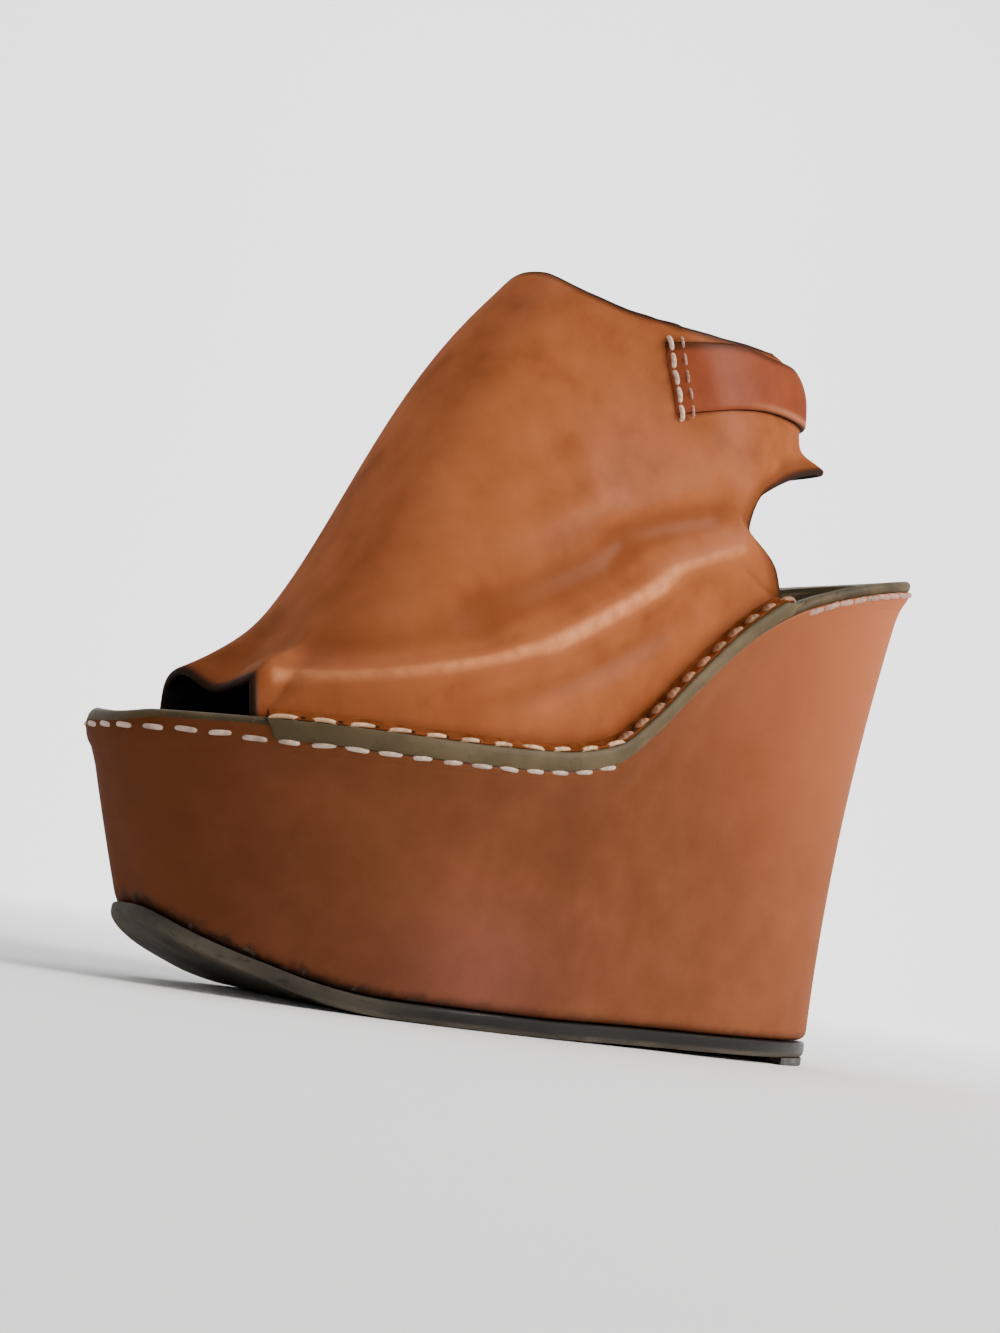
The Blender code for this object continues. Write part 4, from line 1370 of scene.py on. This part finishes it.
grid = np.arange(layer).reshape(TAB_COLUMNS, TAB_ROWS)
border = [*grid[:, 0], *grid[-1, 1:], *grid[-2::-1, -1], *grid[0, -2:0:-1]]
for here, after in zip(border, border[1:] + border[:1]):
    faces.append((int(after), int(here), int(layer + here), int(layer + after)))
low_line = np.exp(-(((from_low - LOW_LINE_AT) / LOW_LINE_WIDTH) ** 2))
values = {
    "upper_edge": 1 - ease(from_high, *TOP_SHADOW_FADE),
    "lower_edge": low_line * ease(along, *LOW_LINE_START)[:, None],
    "rim": 1 - ease(np.minimum.reduce([from_low, from_high, from_back]), *TAB_RIM_FADE),
}
values = {key: np.concatenate([value.ravel(), np.ones(layer)]) for key, value in values.items()}
tab = new_piece("sling_strap_end", points, faces, [tab_skin], values=values)
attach(tab, "root")
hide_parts("sling_tab")


# Stitches
# Thick waxed thread, cream and tan along the welts, pinkish white under the footbed's edge and chalky
# on the strap. Each stitch is a short two-ply arch that dives into the leather at both ends, along
# the welts through needle holes drawn as dark brown marks, painted shade in the holes.
CREAM = (0.520, 0.290, 0.150)
TAN_THREAD = (0.300, 0.130, 0.058)
PINK_WHITE = (0.460, 0.330, 0.260)
HEEL_PINK = (0.350, 0.168, 0.116)
CHALK = (0.540, 0.370, 0.260)
THREAD_ROUGHNESS = 0.6
THREAD_GRUB = Pattern(4.0, 4.0)
THREAD_GRUBBY = Band(0.42, 0.7, 0.0, 0.55)
TWIST_HEIGHT = Band(-1.0, 1.0)
TWIST_BUMP = Bump(0.22, 0.6)
PLIES = 2.0
PLY_TURNS = 4.0
HOLE_SHADE_BROWN = (0.020, 0.010, 0.006)
HOLE_ROUGHNESS = 0.9
HOLE_GLOSS = 0.05

# Dive of a stitch's ends and rise of its middle in thread widths, and reach of its shoulders
STITCH_DIVE = -0.75
STITCH_RISE = 0.25
STITCH_SHOULDER = 0.8
ARCH_STEPS = 16
THREAD_SIDES = 12


def thread_material(name, colour):
    """Waxed twisted thread, grubby in patches."""
    material, tree, shader, where = new_material(name, THREAD_ROUGHNESS)
    grub = span(tree, noise(tree, where, THREAD_GRUB), THREAD_GRUBBY)
    lengthwise = times(tree, attribute(tree, "along"), PLY_TURNS * 2 * np.pi)
    crosswise = times(tree, attribute(tree, "round"), PLIES * 2 * np.pi)
    twist = maths(tree, "SINE", maths(tree, "ADD", lengthwise, crosswise))
    dress(shader, {
        "Base Color": tint(tree, grub, colour, OLIVE),
        "Normal": relief(tree, span(tree, twist, TWIST_HEIGHT), TWIST_BUMP),
    })
    return material


def stitch_tree():
    """Geometry Nodes: arched stitches set along a line, upright on its outward directions."""
    tree = bpy.data.node_groups.new("stitch_row", "GeometryNodeTree")
    tree.interface.new_socket("Geometry", in_out="INPUT", socket_type="NodeSocketGeometry")
    for name in ("Pitch", "Length", "Width", "Height", "Spread", "Jitter"):
        tree.interface.new_socket(name, in_out="INPUT", socket_type="NodeSocketFloat")
    tree.interface.new_socket("Seed", in_out="INPUT", socket_type="NodeSocketInt")
    tree.interface.new_socket("Thread", in_out="INPUT", socket_type="NodeSocketMaterial")
    tree.interface.new_socket("Geometry", in_out="OUTPUT", socket_type="NodeSocketGeometry")
    given = add(tree, "NodeGroupInput").outputs

    def made(kind, inputs, **settings):
        return add(tree, kind, inputs, **settings).outputs[0]

    def point(x=0.0, y=0.0, z=0.0):
        return made("ShaderNodeCombineXYZ", {"X": x, "Y": y, "Z": z})

    def marked(curve, name):
        inputs = {"Geometry": curve, "Name": name, "Value": share}
        return made("GeometryNodeStoreNamedAttribute", inputs, data_type="FLOAT", domain="POINT")

    def drawn(low, high, seed):
        inputs = {2: low, 3: high, "Seed": seed}
        return add(tree, "FunctionNodeRandomValue", inputs, data_type="FLOAT").outputs[1]

    share = add(tree, "GeometryNodeSplineParameter").outputs["Factor"]
    half = times(tree, given["Length"], 1 / 2)
    dive = times(tree, given["Width"], STITCH_DIVE)
    crest = maths(tree, "ADD", times(tree, given["Width"], STITCH_RISE), given["Height"])
    arch = made("GeometryNodeCurvePrimitiveBezierSegment", {
        "Resolution": ARCH_STEPS,
        "Start": point(x=times(tree, half, -1.0), z=dive),
        "Start Handle": point(x=times(tree, half, -STITCH_SHOULDER), z=crest),
        "End Handle": point(x=times(tree, half, STITCH_SHOULDER), z=crest),
        "End": point(x=half, z=dive),
    })
    radius = times(tree, given["Width"], 1 / 2)
    circle = made("GeometryNodeCurvePrimitiveCircle", {"Resolution": THREAD_SIDES, "Radius": radius})
    stitch = made("GeometryNodeCurveToMesh", {
        "Curve": marked(arch, "along"),
        "Profile Curve": marked(circle, "round"),
        "Fill Caps": True,
    })
    wide = point(x=1.0, y=given["Spread"], z=1.0)
    stitch = made("GeometryNodeTransform", {"Geometry": stitch, "Scale": wide})
    line = made("GeometryNodeMeshToCurve", {"Mesh": given["Geometry"]})
    line = made("GeometryNodeResampleCurve", {"Curve": line, "Length": given["Pitch"]}, mode="LENGTH")
    tangent = made("GeometryNodeInputTangent", {})
    outwards = made("GeometryNodeInputNamedAttribute", {"Name": "out"}, data_type="FLOAT_VECTOR")
    turned = made("FunctionNodeAlignRotationToVector", {"Vector": tangent}, axis="X")
    upright = {"Rotation": turned, "Vector": outwards}
    turned = made("FunctionNodeAlignRotationToVector", upright, axis="Z", pivot_axis="X")
    swing = drawn(times(tree, given["Jitter"], -1.0), given["Jitter"], given["Seed"])
    yaw = made("FunctionNodeEulerToRotation", {0: point(z=swing)})
    swung = {"Rotation": turned, "Rotate By": yaw}
    turned = made("FunctionNodeRotateRotation", swung, rotation_space="LOCAL")
    shorter = maths(tree, "SUBTRACT", 1.0, given["Jitter"])
    longer = maths(tree, "ADD", 1.0, given["Jitter"])
    size = drawn(shorter, longer, maths(tree, "ADD", given["Seed"], 1.0))
    laid = made("GeometryNodeInstanceOnPoints", {
        "Points": line,
        "Instance": stitch,
        "Rotation": turned,
        "Scale": point(x=size, y=1.0, z=1.0),
    })
    real = made("GeometryNodeRealizeInstances", {"Geometry": laid})
    real = made("GeometryNodeSetShadeSmooth", {"Geometry": real})
    real = made("GeometryNodeSetMaterial", {"Geometry": real, "Material": given["Thread"]})
    add(tree, "NodeGroupOutput", {"Geometry": real})
    return tree


STITCH_ROW = stitch_tree()


def sew(name, path, out, sizes, material, seed):
    """Row of stitches along a path on a surface with the given outward directions."""
    mesh = bpy.data.meshes.new(name)
    points = placed(path)
    mesh.from_pydata(points.tolist(), [(k, k + 1) for k in range(len(points) - 1)], [])
    layer = mesh.attributes.new("out", "FLOAT_VECTOR", "POINT")
    layer.data.foreach_set("vector", np.asarray(out, np.float32).ravel())
    row = bpy.data.objects.new(name, mesh)
    bpy.context.scene.collection.objects.link(row)
    modifier = row.modifiers.new("stitches", "NODES")
    modifier.node_group = STITCH_ROW
    sockets = STITCH_ROW.interface.items_tree
    inputs = {item.name: item.identifier for item in sockets if item.in_out == "INPUT"}
    for key in ("Pitch", "Length", "Width", "Height"):
        modifier[inputs[key]] = getattr(sizes, key.lower()) * MM
    modifier[inputs["Spread"]] = sizes.spread
    modifier[inputs["Jitter"]] = sizes.jitter
    modifier[inputs["Seed"]] = seed
    modifier[inputs["Thread"]] = material
    graph = bpy.context.evaluated_depsgraph_get()
    made = bpy.data.meshes.new_from_object(row.evaluated_get(graph), depsgraph=graph)
    row.modifiers.remove(modifier)
    row.data = made
    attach(row, "root")


cream_thread = thread_material("cream_thread", CREAM)
tan_thread = thread_material("tan_thread", TAN_THREAD)
pink_thread = thread_material("pinkish_thread", PINK_WHITE)
chalk_thread = thread_material("chalky_thread", CHALK)
heel_thread = thread_material("heel_thread", HEEL_PINK)
# Painted shade: the needle holes are drawn as dark brown marks.
needle_hole, tree, shader, where = new_material("needle_holes", HOLE_ROUGHNESS, HOLE_GLOSS)
dress(shader, {"Base Color": HOLE_SHADE_BROWN})

Stitch = namedtuple("Stitch", "pitch length width height spread jitter")
FLAT_STITCH = Stitch(8.3, 6.3, 1.05, 0.12, 1.20, 0.08)
SLOPE_STITCH = Stitch(6.5, 4.9, 1.40, 0.20, 1.75, 0.08)
EDGE_STITCH = Stitch(7.9, 5.8, 1.15, 0.12, 1.10, 0.12)
HEEL_STITCH = Stitch(6.3, 7.0, 1.45, 0.25, 1.10, 0.06)
TAB_FRONT_STITCH = Stitch(3.9, 3.9, 1.15, 0.12, 1.2, 0.08)
TAB_BACK_STITCH = Stitch(3.9, 3.3, 0.80, 0.10, 1.0, 0.08)
HOLE_STITCH = Stitch(0.0, 1.2, 0.80, 0.00, 1.2, 0.05)

# Rows along the welts: a flat one on the forepart and one up the slope, with gaps in stations
SLOPE_START = 0.500
FLAT_GAP = 0.012
SLOPE_FRONT_GAP = 0.004
SLOPE_BACK_GAP = 0.020
WELT_ROW_STEPS = 400
WELT_SEED = 11
HOLE_SEED = 21
INWARDS = 1.0
Row = namedtuple("Row", "part start end inset lift lean sizes thread")
for k, welt in enumerate(WELTS):
    flat_ends = (welt.toe_station + FLAT_GAP, SLOPE_START - FLAT_GAP)
    slope_ends = (SLOPE_START + SLOPE_FRONT_GAP, welt.heel_station - SLOPE_BACK_GAP)
    rows = [
        Row("flat", *flat_ends, 0.8, 3.05, 0.9, FLAT_STITCH, cream_thread),
        Row("slope", *slope_ends, 1.9, 3.30, 0.1, SLOPE_STITCH, tan_thread),
    ]
    for part, start, end, inset, lift, lean, sizes, thread in rows:
        path = strip_path(welt.side, start, end, WELT_ROW_STEPS, inset, lift)
        inwards = strip_path(welt.side, start, end, WELT_ROW_STEPS, inset + INWARDS, lift) - path
        out = np.cross(np.gradient(path, axis=0), inwards) * -welt.side
        out = unit(unit(out) - inwards * lean)
        name = f"{welt.node}_{part}_stitches"
        sew(name, path, out, sizes, thread, WELT_SEED + k)
        length = path_length(path)
        between = np.linspace(sizes.pitch / 2, length[-1], WELT_ROW_STEPS)
        hole = HOLE_STITCH._replace(pitch=sizes.pitch)
        holes = read_path(between, length, path)
        out = unit(read_path(between, length, out))
        sew(name + "_holes", holes, out, hole, needle_hole, HOLE_SEED + k)

# Rows under the footbed's edge, from a station on one side round the toe or heel to the other side
EDGE_ROW_STEPS = 300
TOE_ROW_RISE = 1.1
TOE_ROW_RISING = (12.0, 27.0)
EdgeRow = namedtuple("EdgeRow", "name side start tip end inset lift sizes thread seed")
EDGE_ROWS = [
    EdgeRow("stitches_toe", 1, 0.470, 0.0, 0.478, 0.05, 0.9, EDGE_STITCH, pink_thread, 31),
    EdgeRow("stitches_heel", -1, 0.765, 1.0, 0.765, 0.20, -0.5, HEEL_STITCH, heel_thread, 32),
]
for row in EDGE_ROWS:
    halves = []
    for side, start, end in ((row.side, row.start, row.tip), (-row.side, row.tip, row.end)):
        station = crowded(start, end, EDGE_ROW_STEPS)
        x = row.inset + (LENGTH - 2 * row.inset) * station
        y = side * half_width(side, station, row.inset)
        halves.append(np.column_stack([x, y, edge_height(x) + row.lift]))
    path = np.vstack([halves[0], halves[1][1:]])
    out = unit(np.cross(np.gradient(path, axis=0), [0.0, 0.0, 1.0]))
    path[:, 2] += TOE_ROW_RISE * (1 - ease(path[:, 0], *TOE_ROW_RISING))
    sew(row.name, path, out, row.sizes, row.thread, row.seed)

# Rows across the front of the strap end
TAB_ROW_MARGIN = 4
TAB_ROW_COLUMN = 6
TabRow = namedtuple("TabRow", "name from_front sizes thread seed")
TAB_STITCHES = [
    TabRow("stitches_strap_1", 1.3, TAB_FRONT_STITCH, chalk_thread, 41),
    TabRow("stitches_strap_2", 4.4, TAB_BACK_STITCH, heel_thread, 42),
]
for row in TAB_STITCHES:
    sewn = range(TAB_ROW_MARGIN, TAB_ROWS - TAB_ROW_MARGIN)
    path = np.vstack([read_path([row.from_front], from_front[:, r], top_side[:, r]) for r in sewn])
    sew(row.name, path, tab_out[TAB_ROW_COLUMN, sewn], row.sizes, row.thread, row.seed)


# Floor, light and camera
# A pale bowl under and round the shoe with no edge to see, a large soft light from the heel side,
# weak fills, and the camera at the photograph's angle to the shoe.
FLOOR_WHITE = (0.78, 0.78, 0.78)
FLOOR_ROUGHNESS = 0.9
FLOOR_GLOSS = 0.1
BOWL_MIDDLE = 0.4
BOWL_FLAT = 1.5
BOWL_CURVE = 1.2
BOWL_WALL = 1.8
BOWL_SEGMENTS = 96
BOWL_STEPS = 24

floor_paint, tree, shader, where = new_material("pale_floor", FLOOR_ROUGHNESS, FLOOR_GLOSS)
dress(shader, {"Base Color": FLOOR_WHITE})
profile = [(BOWL_MIDDLE, 0.0), (BOWL_FLAT, 0.0)]
for t in np.linspace(0.0, np.pi / 2, BOWL_STEPS)[1:]:
    profile.append((BOWL_FLAT + BOWL_CURVE * np.sin(t), BOWL_CURVE * (1 - np.cos(t))))
profile.append((BOWL_FLAT + BOWL_CURVE, BOWL_CURVE + BOWL_WALL))
points = [(0.0, 0.0, 0.0)]
for radius, z in profile:
    for t in np.linspace(0.0, 2 * np.pi, BOWL_SEGMENTS, endpoint=False):
        points.append((radius * np.cos(t), radius * np.sin(t), z))
faces = [(0, 1 + k, 1 + (k + 1) % BOWL_SEGMENTS) for k in range(BOWL_SEGMENTS)]
for quad in band_faces(BOWL_SEGMENTS, len(profile)):
    faces.append(tuple(1 + k for k in reversed(quad)))
mesh = bpy.data.meshes.new("pale_floor")
mesh.from_pydata(points, [], faces)
mesh.materials.append(floor_paint)
mesh.shade_smooth()
floor = bpy.data.objects.new("pale_floor", mesh)
bpy.context.scene.collection.objects.link(floor)
floor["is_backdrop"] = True

AIM = Vector((-0.0084, 0.0067, 0.0924))
CAMERA_PLACE = Vector((-0.3538, -0.4886, 0.0230))
CAMERA_ROLL = 8.67
CAMERA_LENS = 62.6
Light = namedtuple("Light", "name place target size power colour")
LIGHTS = [
    Light("soft_key", (0.90, -0.88, 0.85), (0.0, 0.0, 0.09), 0.7, 36.0, (1.0, 0.97, 0.93)),
    Light("toe_fill", (-1.10, -0.80, 0.90), (0.0, 0.0, 0.09), 1.2, 0.8, (0.95, 0.97, 1.0)),
    Light("top_fill", (0.10, 0.10, 1.60), (0.0, 0.0, 0.0), 1.4, 20.0, (1.0, 1.0, 1.0)),
    Light("backdrop_fill", (0.60, 0.90, 1.50), (1.70, 2.40, 0.20), 1.0, 70.0, (1.0, 1.0, 1.0)),
]
WORLD_GREY = (0.90, 0.91, 0.93, 1.0)
WORLD_STRENGTH = 0.35

for light in LIGHTS:
    lamp = bpy.data.lights.new(light.name, "AREA")
    lamp.size = light.size
    lamp.energy = light.power
    lamp.color = light.colour
    stand = bpy.data.objects.new(light.name, lamp)
    stand.location = light.place
    stand.rotation_euler = (Vector(light.target) - Vector(light.place)).to_track_quat("-Z", "Y").to_euler()
    bpy.context.scene.collection.objects.link(stand)

world = bpy.data.worlds.new("studio")
world.use_nodes = True
sky = world.node_tree.nodes["Background"]
sky.inputs["Color"].default_value = WORLD_GREY
sky.inputs["Strength"].default_value = WORLD_STRENGTH
bpy.context.scene.world = world

lens = bpy.data.cameras.new("camera")
lens.lens = CAMERA_LENS
camera = bpy.data.objects.new("camera", lens)
camera.location = CAMERA_PLACE
facing = (AIM - CAMERA_PLACE).to_track_quat("-Z", "Y")
camera.rotation_mode = "QUATERNION"
camera.rotation_quaternion = facing @ Quaternion((0.0, 0.0, 1.0), np.radians(CAMERA_ROLL))
bpy.context.scene.collection.objects.link(camera)
bpy.context.scene.camera = camera


# Size
# The finished shoe's box, read the same way as the imported model's box at the start.
low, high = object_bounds()
